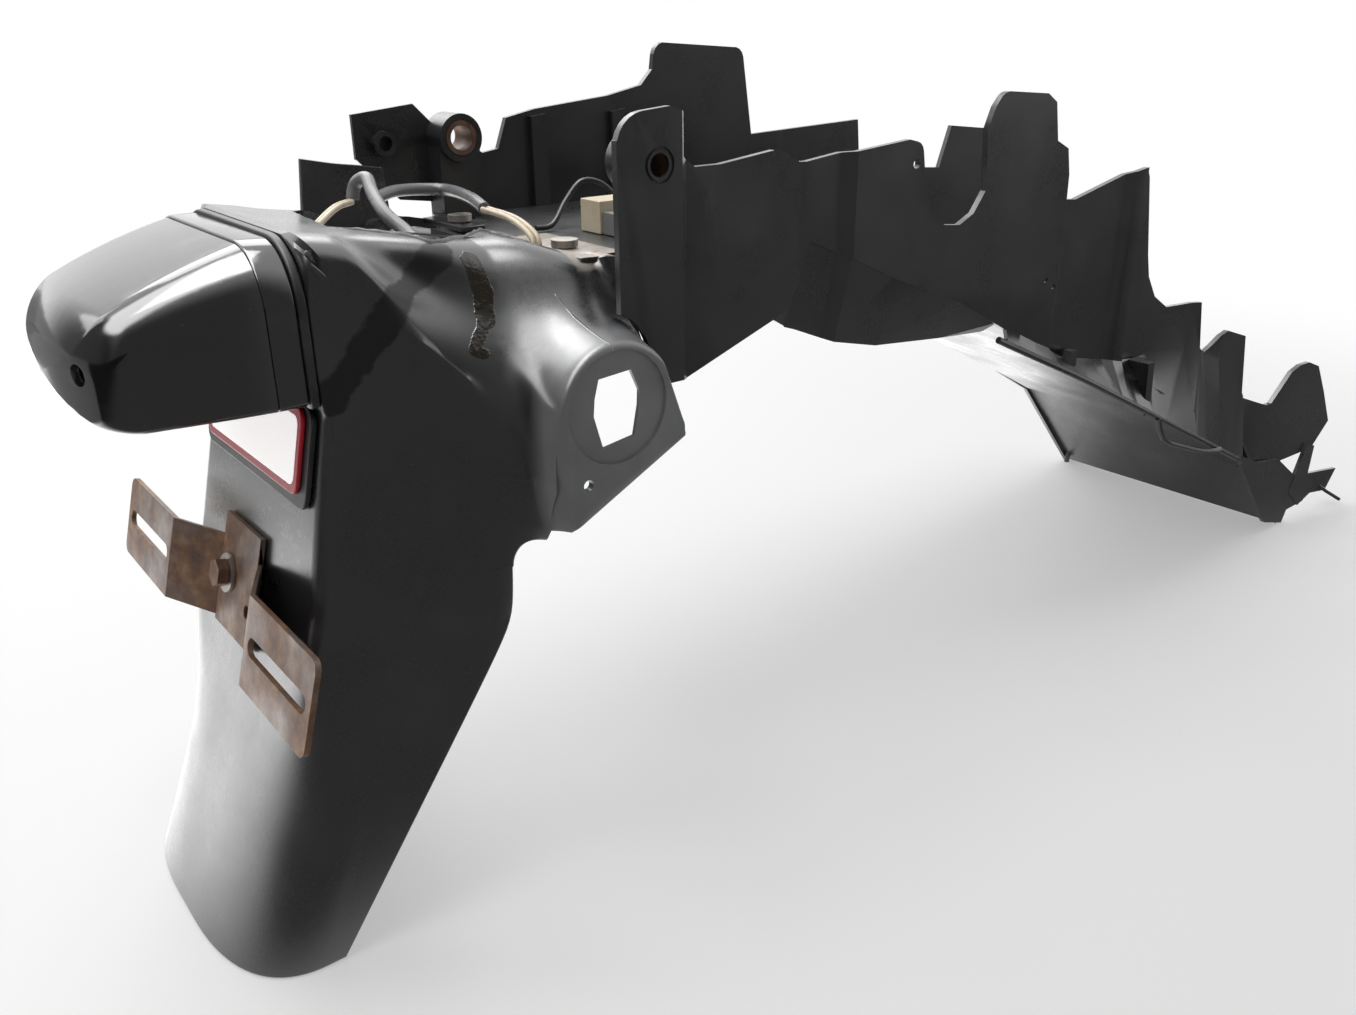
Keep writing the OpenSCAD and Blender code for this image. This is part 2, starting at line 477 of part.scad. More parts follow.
module bulb() {
  color([0.95, 0.95, 0.92, 0.5]) translate([base_x - base_len - 6 - gap, 0, face_low + 26]) rotate([0, -90, 0])
    rotate_extrude($fn = 48) polygon(concat([[0, 0], [4.6, 0], [4.6, 4]], arc(0, 13, 8, -50, 90, 10)));
}
module lamp_cover_screws() {
  color(zinc) for (s = [-1, 1]) {
    along(cover_x - cover_len + 12, s * screw_y, screw_z, 3.6, cover_len - 12 - 8, 24);
    along(cover_x - cover_len + 10, s * screw_y, screw_z, 6.2, 2.6, 32);
  }
}
module lamp_base_nuts() {
  color(zinc) for (s = [-1, 1]) {
    along(base_x - 5, s * 40, face_low + 20, 5, 20, 32);
    along(face_x + wall + gap, s * 40, face_low + 20, 10, 5, 6);
  }
}
// Plain panel on its dark backing, on the flap's upper rear face
module on_rear_face() {
  translate([fork_x - rear_at_fork + 0.225 * (panel_z - fork_h), 0, panel_z]) rotate([0, atan(0.225) - 90, 0]) children();
}
module rounded_plate(length, width, r, t) {
  linear_extrude(t) polygon(concat(arc(length / 2 - r, width / 2 - r, r, 0, 90, 6), arc(r - length / 2, width / 2 - r, r, 90, 180, 6),
    arc(r - length / 2, r - width / 2, r, 180, 270, 6), arc(length / 2 - r, r - width / 2, r, 270, 360, 6)));
}
module panel_backing() {
  color(black_plastic) on_rear_face() translate([-1.8, 0, gap + 0.4]) rounded_plate(panel_h + 5, panel_w + 10, 6, 1.6);
}
module reflector_panel() {
  color([0.85, 0.8, 0.78]) on_rear_face() translate([0, 0, 2 * gap + 2]) rounded_plate(panel_h, panel_w, 5, 1.4);
}

panel_z = fork_h + 49.5;
panel_h = 30;
panel_w = 2 * lamp_half_w - 18;

// Frame of the plate bracket: origin on the flap's rear face, X along the face's normal
bracket_h = fork_h - 11.5;
bracket_lean = 15.5;
seat_gap = 0.8;
bracket_bolt_y = 13;
bracket_x = fork_x - rear_reach(bracket_h);
module plate_frame() {
  translate([bracket_x, 0, bracket_h]) rotate([0, bracket_lean, 0]) children();
}
leg_starts = [-13, 22];
slot_h = -4;
tab_out = 13;
tab_start = slot_pitch / 2 - tab_len / 2;
// Bent strip seen along its folds: a centre plate, two slanted legs and two tabs
function strip_line(start) = [[-seat_gap, start], [-seat_gap - tab_out, tab_start], [-seat_gap - tab_out, tab_start + tab_len]];
function strip_half(start) = concat(strip_line(start), reverse([for (p = strip_line(start)) [p[0] - steel_t, p[1] + (p[1] > tab_start ? 0 : 0.6)]]));
module plate_bracket() {
  color(rusty_steel) plate_frame() difference() {
    union() {
      translate([0, 0, slot_h - tab_h / 2]) linear_extrude(tab_h) polygon(strip_half(leg_starts[1]));
      translate([0, 0, slot_h - tab_h / 2]) linear_extrude(tab_h) polygon([for (p = strip_half(-leg_starts[0])) [p[0], -p[1]]]);
      translate([-seat_gap - steel_t, leg_starts[0] - 0.4, -22]) cube([steel_t, leg_starts[1] - leg_starts[0] + 0.8, 44]);
    }
    for (s = [-1, 1]) translate([-30, s * slot_pitch / 2, slot_h]) rotate([0, 90, 0]) {
      for (e = [-1, 1]) translate([0, e * (slot_len - slot_w) / 2, 0]) cylinder(h = 60, d = slot_w, $fn = 32);
      translate([-slot_w / 2, -(slot_len - slot_w) / 2, 0]) cube([slot_w, slot_len - slot_w, 60]);
    }
    along(-20, bracket_bolt_y, 0, 6.6, 40);
    along(-20, -8, -8, 5, 40);
  }
}
washer_t = 1.2;
bolt_seat = -seat_gap - steel_t - washer_t - 2 * gap;
module bracket_bolt() {
  color(rusty_steel) plate_frame() {
    along(bolt_seat - 1, bracket_bolt_y, 0, 6, 20, 32);
    along(bolt_seat - 4, bracket_bolt_y, 0, 11, 4, 6);
  }
}
module bracket_washer() {
  color(zinc) plate_frame() difference() {
    along(-seat_gap - steel_t - gap - washer_t, bracket_bolt_y, 0, 15, washer_t);
    along(-10, bracket_bolt_y, 0, 6.6, 20);
  }
}
module bracket_nut() {
  color(zinc) plate_frame() difference() {
    along(wall + 1.2, bracket_bolt_y, 0, 11, 5, 6);
    along(-2, bracket_bolt_y, 0, 6.5, 20);
  }
}
module mount_collars() {
  color(rusty_steel) for (s = [-1, 1]) difference() {
    across(eye_x, eye_h, eye_d + 2 * collar_t, s * (wall_y - 8) - 8, s * (wall_y - 8) + 8);
    across(eye_x, eye_h, eye_d, s * (wall_y - 8) - 9, s * (wall_y - 8) + 9);
  }
}
joint_x = -216;
joint_y = 40;
joint_d = 5;
joint_top = knee_z + gap + 2.6;
module joint_screws() {
  color(zinc) for (s = [-1, 1]) {
    translate([joint_x, s * joint_y, knee_z - 9]) cylinder(h = joint_top + gap - knee_z + 10, d = joint_d, $fn = 32);
    translate([joint_x, s * joint_y, joint_top + gap]) cylinder(h = 2.6, d = 10, $fn = 32);
  }
}
module joint_clips() {
  color(zinc) for (s = [-1, 1]) difference() {
    translate([joint_x - 6, s * joint_y - 6, knee_z - wall - gap - 2]) cube([12, 12, 2]);
    translate([joint_x, s * joint_y, knee_z - 12]) cylinder(h = 12, d = joint_d + 2 * gap, $fn = 32);
  }
}

// Routes of the wiring through the opening, which rise and fall with the crown or with the undertray's knee
function raised(route, h) = [for (p = route) p + [0, 0, h]];
by_crown = crown_h - 250.5;
by_knee = knee_z - 241;
main_route = [[-266, 31, 258.5], [-264, 31, 264], [-262, 25, 266.5], [-265, 14, 262.5], [-268, -2, 257], [-267, -16, 252],
  [-268, -30, 247], [-268, -37, 241]];
branch_route = [[-251, 44, 256], [-238, 52, 257], [-225, 53, 256.5], [-217, 46, 256], [-220, 22, 255.5], [-225, 2, 254]];
lamp_route = [[-313, 2, 231], [-305, 4, 243], [-296, 5, 249.9], [-288.5, 9, 254.7], [-277, 21, 257.5], [-268, 28, 258]];
tail_route = [[-225.4, 0.8, 254], [-226, -21, 253], [-227, -36, 249], [-228, -40, 244], [-229, -41, 236]];
earth_route = [[-198, 9, 242.8], [-190, 9, 243.5], [-181, 12, 252], [-173, 12, 259], [-165, 10, 258], [-160, 6, 252], [-161, 2, 245]];
module main_sheath() {
  color([0.3, 0.3, 0.31]) tube(rounder(raised(main_route, by_crown), 4), sheath_d, 10);
}
module branch_sheath() {
  color([0.45, 0.45, 0.46]) tube(rounder(raised(branch_route, by_knee), 4), sheath_d, 10);
}
module lamp_leads() {
  color([0.85, 0.8, 0.68]) for (s = [-1, 1]) translate([0, s * (lead_d / 2 + 0.1), 0]) tube(rounder(raised(lamp_route, by_crown), 4), lead_d);
}
module tail_leads() {
  color([0.85, 0.8, 0.68]) for (s = [-1, 1]) translate([s * (lead_d / 2 + 0.1), 0, 0]) tube(rounder(raised(tail_route, by_knee), 4), lead_d);
}
module earth_lead() {
  color([0.1, 0.1, 0.1]) tube(rounder(raised(earth_route, by_knee), 5), lead_d);
}
module connector_socket() {
  color([0.86, 0.84, 0.76]) translate([-182, -14, knee_z + gap]) cube([18, 14, 13]);
}
module connector_plug() {
  color([0.5, 0.5, 0.5]) translate([-181, -31 - gap, knee_z + gap]) cube([16, 17, 9]);
}

rear_mudguard();
undertray();
lamp_seal();
lamp_base();
lamp_cover();
lamp_lens();
bulb_holder();
bulb();
lamp_cover_screws();
lamp_base_nuts();
panel_backing();
reflector_panel();
plate_bracket();
bracket_bolt();
bracket_washer();
bracket_nut();
mount_collars();
joint_screws();
joint_clips();
main_sheath();
branch_sheath();
lamp_leads();
tail_leads();
earth_lead();
connector_socket();
connector_plug();
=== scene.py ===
import json
import math
import bpy
import bmesh
import numpy as np
from mathutils import Matrix, Vector, noise


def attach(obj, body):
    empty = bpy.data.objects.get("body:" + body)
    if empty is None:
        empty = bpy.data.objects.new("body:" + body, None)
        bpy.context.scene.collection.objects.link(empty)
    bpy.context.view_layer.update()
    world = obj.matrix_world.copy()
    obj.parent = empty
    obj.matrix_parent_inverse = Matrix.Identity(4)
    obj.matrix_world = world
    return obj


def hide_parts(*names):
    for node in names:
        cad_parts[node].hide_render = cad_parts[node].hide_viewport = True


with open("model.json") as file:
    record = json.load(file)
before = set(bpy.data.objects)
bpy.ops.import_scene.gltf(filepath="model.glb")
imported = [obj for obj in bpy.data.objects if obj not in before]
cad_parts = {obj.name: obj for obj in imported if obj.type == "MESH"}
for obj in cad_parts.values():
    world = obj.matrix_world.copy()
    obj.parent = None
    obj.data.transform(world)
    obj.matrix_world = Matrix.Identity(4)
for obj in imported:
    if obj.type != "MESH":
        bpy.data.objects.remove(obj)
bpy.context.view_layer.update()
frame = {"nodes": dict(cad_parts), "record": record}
nodes = frame["nodes"]
slot_of = {s["node"]: s["material_slot"] for s in frame["record"]["subparts"]}
MM = 0.001


# Camera at the photograph's place
PHOTO_W, FOCAL_PX = 1356.0, 1150.0
SENSOR_W = 36.0
CAMERA_TURN = (22.89, 51.97, 0.61)
CAMERA_PLACE = (-0.448, -0.40288, 0.320)


def make_camera():
    data = bpy.data.cameras.new("camera")
    data.sensor_fit = "HORIZONTAL"
    data.sensor_width = SENSOR_W
    data.lens = SENSOR_W * FOCAL_PX / PHOTO_W
    data.clip_start = 0.01
    data.clip_end = 50.0
    cam = bpy.data.objects.new("camera", data)
    bpy.context.scene.collection.objects.link(cam)
    pitch, yaw, roll = (math.radians(a) for a in CAMERA_TURN)
    forward = Vector((math.cos(yaw) * math.cos(pitch), math.sin(yaw) * math.cos(pitch), -math.sin(pitch)))
    right = Vector((math.sin(yaw), -math.cos(yaw), 0.0))
    down = forward.cross(right)
    x_axis = math.cos(roll) * right + math.sin(roll) * down
    y_axis = -(-math.sin(roll) * right + math.cos(roll) * down)
    turn = Matrix((x_axis, y_axis, -forward)).transposed()
    cam.matrix_world = Matrix.Translation(Vector(CAMERA_PLACE)) @ turn.to_4x4()
    bpy.context.scene.camera = cam


make_camera()


# Node and shader helpers
class Nodes:
    """Short calls for the nodes of one tree."""

    def __init__(self, tree):
        self.tree = tree

    def node(self, kind):
        return self.tree.nodes.new(kind)

    def feed(self, value, socket):
        """Sets a number, vector or colour on a socket, or links an output to it."""
        if isinstance(value, bpy.types.NodeSocket):
            self.tree.links.new(value, socket)
        elif isinstance(value, (int, float)):
            socket.default_value = value
        elif len(value) < len(socket.default_value):
            socket.default_value = (*value, 1.0)
        else:
            socket.default_value = tuple(value)

    def spread(self, fac, low, high, to_low=0.0, to_high=1.0, kind="LINEAR"):
        n = self.node("ShaderNodeMapRange")
        n.interpolation_type = kind
        n.inputs["From Min"].default_value = low
        n.inputs["From Max"].default_value = high
        n.inputs["To Min"].default_value = to_low
        n.inputs["To Max"].default_value = to_high
        self.feed(fac, n.inputs["Value"])
        return n.outputs["Result"]

    def smooth(self, fac, low, high, to_low, to_high):
        return self.spread(fac, low, high, to_low, to_high, "SMOOTHSTEP")

    def mix(self, fac, a, b):
        """Mix of two colours."""
        n = self.node("ShaderNodeMix")
        n.data_type = "RGBA"
        for value, socket in ((fac, n.inputs[0]), (a, n.inputs[6]), (b, n.inputs[7])):
            self.feed(value, socket)
        return n.outputs[2]

    def value_mix(self, fac, a, b):
        """Mix of two numbers."""
        n = self.node("ShaderNodeMix")
        n.data_type = "FLOAT"
        for value, socket in ((fac, n.inputs[0]), (a, n.inputs[2]), (b, n.inputs[3])):
            self.feed(value, socket)
        return n.outputs[0]

    def math(self, op, a, b=0.0, clamp=False):
        n = self.node("ShaderNodeMath")
        n.operation = op
        n.use_clamp = clamp
        self.feed(a, n.inputs[0])
        self.feed(b, n.inputs[1])
        return n.outputs[0]

    def vector(self, op, a, b=(0.0, 0.0, 0.0), out="Vector"):
        n = self.node("ShaderNodeVectorMath")
        n.operation = op
        self.feed(a, n.inputs[0])
        self.feed(b, n.inputs["Scale"] if op == "SCALE" else n.inputs[1])
        return n.outputs[out]

    def dot(self, a, b):
        return self.vector("DOT_PRODUCT", a, b, "Value")

    def moved(self, source, scale, place=(0.0, 0.0, 0.0)):
        n = self.node("ShaderNodeMapping")
        n.inputs["Location"].default_value = place
        n.inputs["Scale"].default_value = scale
        self.feed(source, n.inputs["Vector"])
        return n.outputs["Vector"]

    def ray_kinds(self):
        """Two values: 1 for rays from the camera or through glass, and 1 for rays from gloss."""
        rays = self.node("ShaderNodeLightPath").outputs
        return self.math("MAXIMUM", rays["Is Camera Ray"], rays["Is Transmission Ray"]), rays["Is Glossy Ray"]


class Shader(Nodes):
    """A Principled material with short calls for its looks."""

    def __init__(self, name, **sockets):
        self.mat = bpy.data.materials.new(name)
        self.mat.use_nodes = True
        super().__init__(self.mat.node_tree)
        self.bsdf = self.tree.nodes["Principled BSDF"]
        self.place = self.node("ShaderNodeTexCoord").outputs["Object"]
        for key, value in sockets.items():
            self.bsdf.inputs[key.replace("_", " ")].default_value = value

    def noise(self, scale, detail=4.0, rough=0.55, stretch=None, distortion=0.0):
        n = self.node("ShaderNodeTexNoise")
        n.inputs["Scale"].default_value = scale
        n.inputs["Detail"].default_value = detail
        n.inputs["Roughness"].default_value = rough
        n.inputs["Distortion"].default_value = distortion
        self.feed(self.moved(self.place, stretch) if stretch else self.place, n.inputs["Vector"])
        return n.outputs["Fac"]

    def ramp(self, fac, stops):
        n = self.node("ShaderNodeValToRGB")
        while len(n.color_ramp.elements) < len(stops):
            n.color_ramp.elements.new(0.5)
        for e, (at, colour) in zip(n.color_ramp.elements, stops):
            e.position = at
            e.color = (*colour, 1.0)
        self.feed(fac, n.inputs["Fac"])
        return n.outputs["Color"]

    def edges(self):
        """1 on sharp outer edges, 0 on flat faces."""
        return self.spread(self.node("ShaderNodeNewGeometry").outputs["Pointiness"], 0.51, 0.58)

    def facing_up(self, low, high):
        normal = self.node("ShaderNodeNewGeometry").outputs["Normal"]
        return self.spread(self.dot(normal, (0.0, 0.0, 1.0)), low, high)

    def axis(self, name):
        s = self.node("ShaderNodeSeparateXYZ")
        self.feed(self.place, s.inputs["Vector"])
        return s.outputs[name]

    def near(self, points, radius, soft, wobble=0.0, scale=90.0):
        """1 near a line through points in millimetres, 0 away from it."""
        found = None
        for a, b in zip(points, points[1:]):
            a, b = Vector(a) * MM, Vector(b) * MM
            away = self.vector("SUBTRACT", self.place, a)
            along = self.math("MULTIPLY", self.dot(away, b - a), 1.0 / (b - a).length_squared, clamp=True)
            gap = self.vector("DISTANCE", away, self.vector("SCALE", b - a, along), "Value")
            found = gap if found is None else self.math("MINIMUM", found, gap)
        if wobble:
            uneven = self.math("SUBTRACT", self.noise(scale, 4.0, 0.6), 0.5)
            found = self.math("ADD", found, self.math("MULTIPLY", uneven, 2.0 * wobble * MM))
        return self.smooth(found, radius * MM, (radius + soft) * MM, 1.0, 0.0)

    def colour(self, value):
        self.feed(value, self.bsdf.inputs["Base Color"])

    def rough(self, value):
        self.feed(value, self.bsdf.inputs["Roughness"])

    def bump(self, *heights):
        last = None
        for height, strength, distance in heights:
            n = self.node("ShaderNodeBump")
            n.inputs["Strength"].default_value = strength
            n.inputs["Distance"].default_value = distance
            self.feed(height, n.inputs["Height"])
            if last:
                self.feed(last, n.inputs["Normal"])
            last = n.outputs["Normal"]
        self.feed(last, self.bsdf.inputs["Normal"])


PLASTIC_IOR = 1.6


def moulded(name, base, dust, rough_low, rough_high, dust_amount, extra, specular=1.0):
    """Black moulded plastic with dust in patches, fine scratches and paler worn edges."""
    s = Shader(name, Specular_IOR_Level=specular, IOR=PLASTIC_IOR)
    patches = s.noise(9.0, 5.0, 0.6)
    cloudy = s.noise(31.0, 5.0, 0.62)
    fine = s.noise(420.0, 3.0, 0.6)
    scratches = s.noise(60.0, 6.0, 0.75, stretch=(1.0, 1.0, 0.1), distortion=0.7)
    dusty = s.math("MULTIPLY", s.spread(s.math("MULTIPLY", patches, cloudy), 0.2, 0.42), dust_amount)
    colour = s.mix(dusty, base, dust)
    worn = s.math("MULTIPLY", s.edges(), 0.3)
    colour = s.mix(worn, colour, tuple(min(1.0, 3.2 * c + 0.03) for c in base))
    cloud = s.spread(cloudy, 0.35, 0.7, rough_low, rough_high)
    rough = s.math("ADD", cloud, s.spread(fine, 0.3, 0.7, -0.02, 0.03))
    bumps = [(patches, 0.06, 0.004), (scratches, 0.018, 0.0005), (fine, 0.05, 0.00012)]
    colour, rough = extra(s, colour, rough, bumps)
    s.colour(colour)
    s.rough(rough)
    s.bump(*bumps)
    return s.mat


def box_mask(s, low, high, soft=1.0):
    """1 inside a box given in millimetres."""
    mask = None
    for k, name in enumerate("XYZ"):
        p = s.axis(name)
        inside = s.math("MULTIPLY", s.spread(p, (low[k] - soft) * MM, low[k] * MM),
                        s.spread(p, high[k] * MM, (high[k] + soft) * MM, 1.0, 0.0))
        mask = inside if mask is None else s.math("MULTIPLY", mask, inside)
    return mask


# Lines of the stains on the mudguard, in millimetres
DRIP = [(-261, -51.5, 247), (-260.4, -53, 243), (-260, -56, 236), (-262, -59.8, 227.5)]
DRIP_TAIL = [(-262, -59.8, 227.5), (-265.5, -62, 223), (-268.5, -63.8, 219), (-266.5, -64.6, 217.5)]
SMEAR = [(-272, -50, 250), (-283, -52, 243), (-293, -58.2, 237), (-301, -59, 229), (-310, -57.5, 219),
         (-317, -54.7, 209)]
PARTING = [(-237.8, -67.2, 233.7), (-236, -75.4, 227.1), (-233.9, -83.4, 222.9), (-232.3, -90.8, 220.2),
           (-232.2, -92.2, 217.5)]


def stained(s, colour, rough, bumps):
    """Oily drip, dark smear, parting line and pale dried dirt on the mudguard, and a painted sheen in pale
    grey on the signal boss's outer face.
    """
    drip = s.near(DRIP, 3.3, 0.3, 2.0, 120.0)
    tail = s.near(DRIP_TAIL, 2.1, 0.3, 1.8, 140.0)
    wet = s.math("MAXIMUM", drip, tail)
    smear = s.near(SMEAR, 4.2, 1.6, 5.0, 70.0)
    colour = s.mix(s.math("MULTIPLY", wet, 0.95), colour, (0.016, 0.011, 0.003))
    colour = s.mix(s.math("MULTIPLY", smear, 0.85), colour, (0.003, 0.003, 0.003))
    dulled = s.math("ADD", s.math("MULTIPLY", smear, 0.55), s.math("MULTIPLY", wet, 0.4))
    s.feed(s.math("SUBTRACT", 1.0, dulled), s.bsdf.inputs["Specular IOR Level"])
    rough = s.math("ADD", rough, s.math("MULTIPLY", smear, 0.1))
    rough = s.math("SUBTRACT", rough, s.math("MULTIPLY", wet, 0.22))
    bead = s.spread(s.noise(300.0, 2.0, 0.5), 0.4, 0.7)
    bumps.append((s.math("MULTIPLY", wet, s.math("ADD", bead, 1.5)), 0.35, 0.0005))
    parting = s.near(PARTING, 0.15, 0.3)
    colour = s.mix(s.math("MULTIPLY", parting, 0.35), colour, (0.12, 0.12, 0.12))
    bumps.append((parting, 0.5, 0.0004))
    # Pale grey clouds on the signal boss's outer face: painted sheen standing for the light that face catches
    # from above
    sheen_clouds = s.spread(s.noise(24.0, 4.0, 0.6), 0.2, 0.7, 0.5, 1.0)
    haze = s.math("MULTIPLY", box_mask(s, (-256, -120, 140), (-190, -84, 222), 6.0), sheen_clouds)
    colour = s.mix(s.math("MULTIPLY", haze, 0.75), colour, (0.23, 0.232, 0.238))
    rough = s.math("ADD", rough, s.math("MULTIPLY", haze, 0.12))
    up = s.facing_up(0.5, 0.95)
    rim = s.math("MULTIPLY", up, box_mask(s, (-226, -64, 240), (-199, -8, 250)))
    return dried(s, colour, rough, rim)


def dried(s, colour, rough, mask):
    """Pale dried dirt with rusty spots, where the mask is 1."""
    spots = s.spread(s.noise(150.0, 4.0, 0.65), 0.56, 0.64)
    film = s.spread(s.noise(45.0, 5.0, 0.7), 0.3, 0.55, 0.25, 1.0)
    mask = s.math("MULTIPLY", mask, film)
    colour = s.mix(s.math("MULTIPLY", mask, 0.85), colour, (0.42, 0.36, 0.3))
    colour = s.mix(s.math("MULTIPLY", mask, s.math("MULTIPLY", spots, 0.8)), colour, (0.17, 0.08, 0.035))
    return colour, s.math("ADD", rough, s.math("MULTIPLY", mask, 0.2))


def tray_dirt(s, colour, rough, bumps):
    """Dried dirt on the ledge, scuffs along the wall and dust on the floor."""
    up = s.facing_up(0.6, 0.95)
    ledge = s.math("MULTIPLY", up, box_mask(s, (-227, -50, 240), (-196, 6, 243)))
    colour, rough = dried(s, colour, rough, ledge)
    scuffs = s.spread(s.noise(38.0, 8.0, 0.85, stretch=(1.0, 1.0, 0.16), distortion=1.2), 0.62, 0.7)
    colour = s.mix(s.math("MULTIPLY", scuffs, 0.14), colour, (0.2, 0.2, 0.2))
    dust = s.math("MULTIPLY", up, s.spread(s.noise(22.0, 6.0, 0.7), 0.4, 0.7))
    colour = s.mix(s.math("MULTIPLY", dust, 0.22), colour, (0.16, 0.16, 0.155))
    return colour, rough


def scuffed(s, colour, rough, bumps):
    """Faint pale scuffs and specks on the lamp."""
    haze = s.spread(s.noise(34.0, 6.0, 0.7, stretch=(0.6, 1.0, 1.0)), 0.56, 0.75)
    colour = s.mix(s.math("MULTIPLY", haze, 0.1), colour, (0.2, 0.2, 0.2))
    specks = s.spread(s.noise(520.0, 2.0, 0.5), 0.74, 0.78)
    colour = s.mix(s.math("MULTIPLY", specks, 0.5), colour, (0.3, 0.29, 0.27))
    return colour, s.math("ADD", rough, s.math("MULTIPLY", haze, 0.12))


def rusted(name):
    """Plated sheet steel with rust in patches and darker pits."""
    s = Shader(name, Metallic=0.3)
    big = s.noise(26.0, 4.0, 0.6)
    small = s.noise(120.0, 6.0, 0.65)
    pits = s.noise(620.0, 3.0, 0.6)
    rust = s.ramp(small, [(0.25, (0.06, 0.03, 0.02)), (0.45, (0.125, 0.063, 0.036)),
                          (0.6, (0.2, 0.11, 0.058)), (0.8, (0.36, 0.2, 0.085))])
    plate = s.ramp(small, [(0.3, (0.13, 0.105, 0.098)), (0.7, (0.25, 0.215, 0.2))])
    s.colour(s.mix(s.spread(big, 0.46, 0.66, 0.0, 0.65), rust, plate))
    s.rough(s.spread(big, 0.35, 0.65, 0.65, 0.42))
    s.bump((small, 0.25, 0.0005), (pits, 0.3, 0.0002))
    return s.mat


def plated(name):
    """Dull zinc-plated steel with brown spots."""
    s = Shader(name, Metallic=0.85)
    big = s.noise(90.0, 5.0, 0.65)
    fine = s.noise(700.0, 3.0, 0.6)
    rust = s.math("MULTIPLY", s.spread(big, 0.52, 0.68), 0.35)
    s.colour(s.mix(rust, (0.42, 0.4, 0.37), (0.16, 0.08, 0.04)))
    s.rough(s.spread(big, 0.3, 0.7, 0.3, 0.55))
    s.bump((fine, 0.2, 0.0001))
    return s.mat


def plain_skin(name, base, rough, dirt=(0.1, 0.08, 0.06), amount=0.25, scale=60.0, grain=900.0, **sockets):
    """Soft or moulded skin with a little dirt and grain."""
    s = Shader(name, **sockets)
    big = s.noise(scale, 5.0, 0.6)
    fine = s.noise(grain, 3.0, 0.6)
    s.colour(s.mix(s.math("MULTIPLY", s.spread(big, 0.45, 0.75), amount), base, dirt))
    s.rough(s.spread(big, 0.3, 0.7, rough - 0.06, rough + 0.08))
    s.bump((big, 0.08, 0.0008), (fine, 0.18, 0.00012))
    return s.mat


def clear_skin(name, base, rough, ior):
    """Clear lens or bulb with light smears."""
    s = Shader(name, Transmission_Weight=1.0, IOR=ior)
    smear = s.noise(60.0, 4.0, 0.6)
    s.colour(s.mix(s.spread(smear, 0.4, 0.7), base, tuple(0.85 * c for c in base)))
    s.rough(s.spread(smear, 0.3, 0.7, rough, rough + 0.12))
    return s.mat


materials = {
    "mudguard_plastic": moulded("mudguard_plastic", (0.0085, 0.009, 0.0105), (0.07, 0.072, 0.075),
                                0.25, 0.34, 0.16, stained),
    "undertray_plastic": moulded("undertray_plastic", (0.0085, 0.0088, 0.01), (0.065, 0.065, 0.066),
                                 0.26, 0.38, 0.16, tray_dirt, 0.65),
    "lamp_plastic": moulded("lamp_plastic", (0.008, 0.0072, 0.007), (0.04, 0.036, 0.03),
                            0.09, 0.14, 0.1, scuffed),
    "rusted_steel": rusted("rusted_steel"),
    "plated_steel": plated("plated_steel"),
    "clear_lens": clear_skin("clear_lens", (0.9, 0.9, 0.88), 0.1, 1.49),
    "bulb_glass": clear_skin("bulb_glass", (0.97, 0.97, 0.95), 0.02, 1.5),
}
for skin, look, options in (
        ("seal_rubber", ((0.018, 0.018, 0.019), 0.42), {"dirt": (0.1, 0.09, 0.08)}),
        ("holder_plastic", ((0.014, 0.014, 0.015), 0.4), {}),
        ("sheath_vinyl", ((0.2, 0.2, 0.205), 0.3), {"dirt": (0.06, 0.058, 0.055), "amount": 0.6}),
        ("cream_insulation", ((0.7, 0.6, 0.44), 0.4), {"dirt": (0.3, 0.22, 0.14), "amount": 0.5}),
        ("black_insulation", ((0.02, 0.02, 0.02), 0.35), {}),
        ("cream_nylon", ((0.72, 0.63, 0.46), 0.45), {"dirt": (0.35, 0.27, 0.18), "amount": 0.4}),
        ("grey_nylon", ((0.22, 0.22, 0.22), 0.45), {}),
        # panel_plastic glows with an emission of 0.5 though the panel is no lamp: painted light that
        # brightens it to white
        ("panel_plastic", ((0.9, 0.88, 0.87), 0.25),
         {"dirt": (0.7, 0.65, 0.62), "Emission_Color": (1.0, 0.97, 0.96, 1.0), "Emission_Strength": 0.5})):
    materials[skin] = plain_skin(skin, *look, **options)
pale_flash = plain_skin("cut_edge_skin", (0.2, 0.2, 0.195), 0.4,
                        dirt=(0.03, 0.03, 0.03), amount=0.8, scale=220.0)
# The blob's pale specks, passed in as dirt, are painted glints standing for the sparkles on its shiny lumps
blob_skin_painted_glints = plain_skin("blob_skin_painted_glints", (0.02, 0.02, 0.02), 0.16,
                       dirt=(0.35, 0.35, 0.35), amount=0.5, scale=700.0)
red_skin = plain_skin("panel_rim_red", (0.5, 0.012, 0.03), 0.3, dirt=(0.25, 0.01, 0.02), amount=0.6)


for name, obj in nodes.items():
    obj.data.materials.clear()
    obj.data.materials.append(materials[slot_of[name]])


# Mesh helpers
def lerp(a, b, t):
    return a + (b - a) * t


def ease(t):
    u = min(1.0, max(0.0, t))
    return u * u * (3.0 - 2.0 * u)


def bend(p, q, r, t):
    return (1 - t) * (1 - t) * p + 2 * t * (1 - t) * q + t * t * r


def arc(cx, cy, r, a, b, n):
    turns = [math.radians(a + (b - a) * i / n) for i in range(n + 1)]
    return [(cx + r * math.cos(t), cy + r * math.sin(t)) for t in turns]


def finer(values, parts):
    """The same rising list with each step divided."""
    out = []
    for a, b in zip(values, values[1:]):
        out += [lerp(a, b, k / parts) for k in range(parts)]
    return out + [values[-1]]


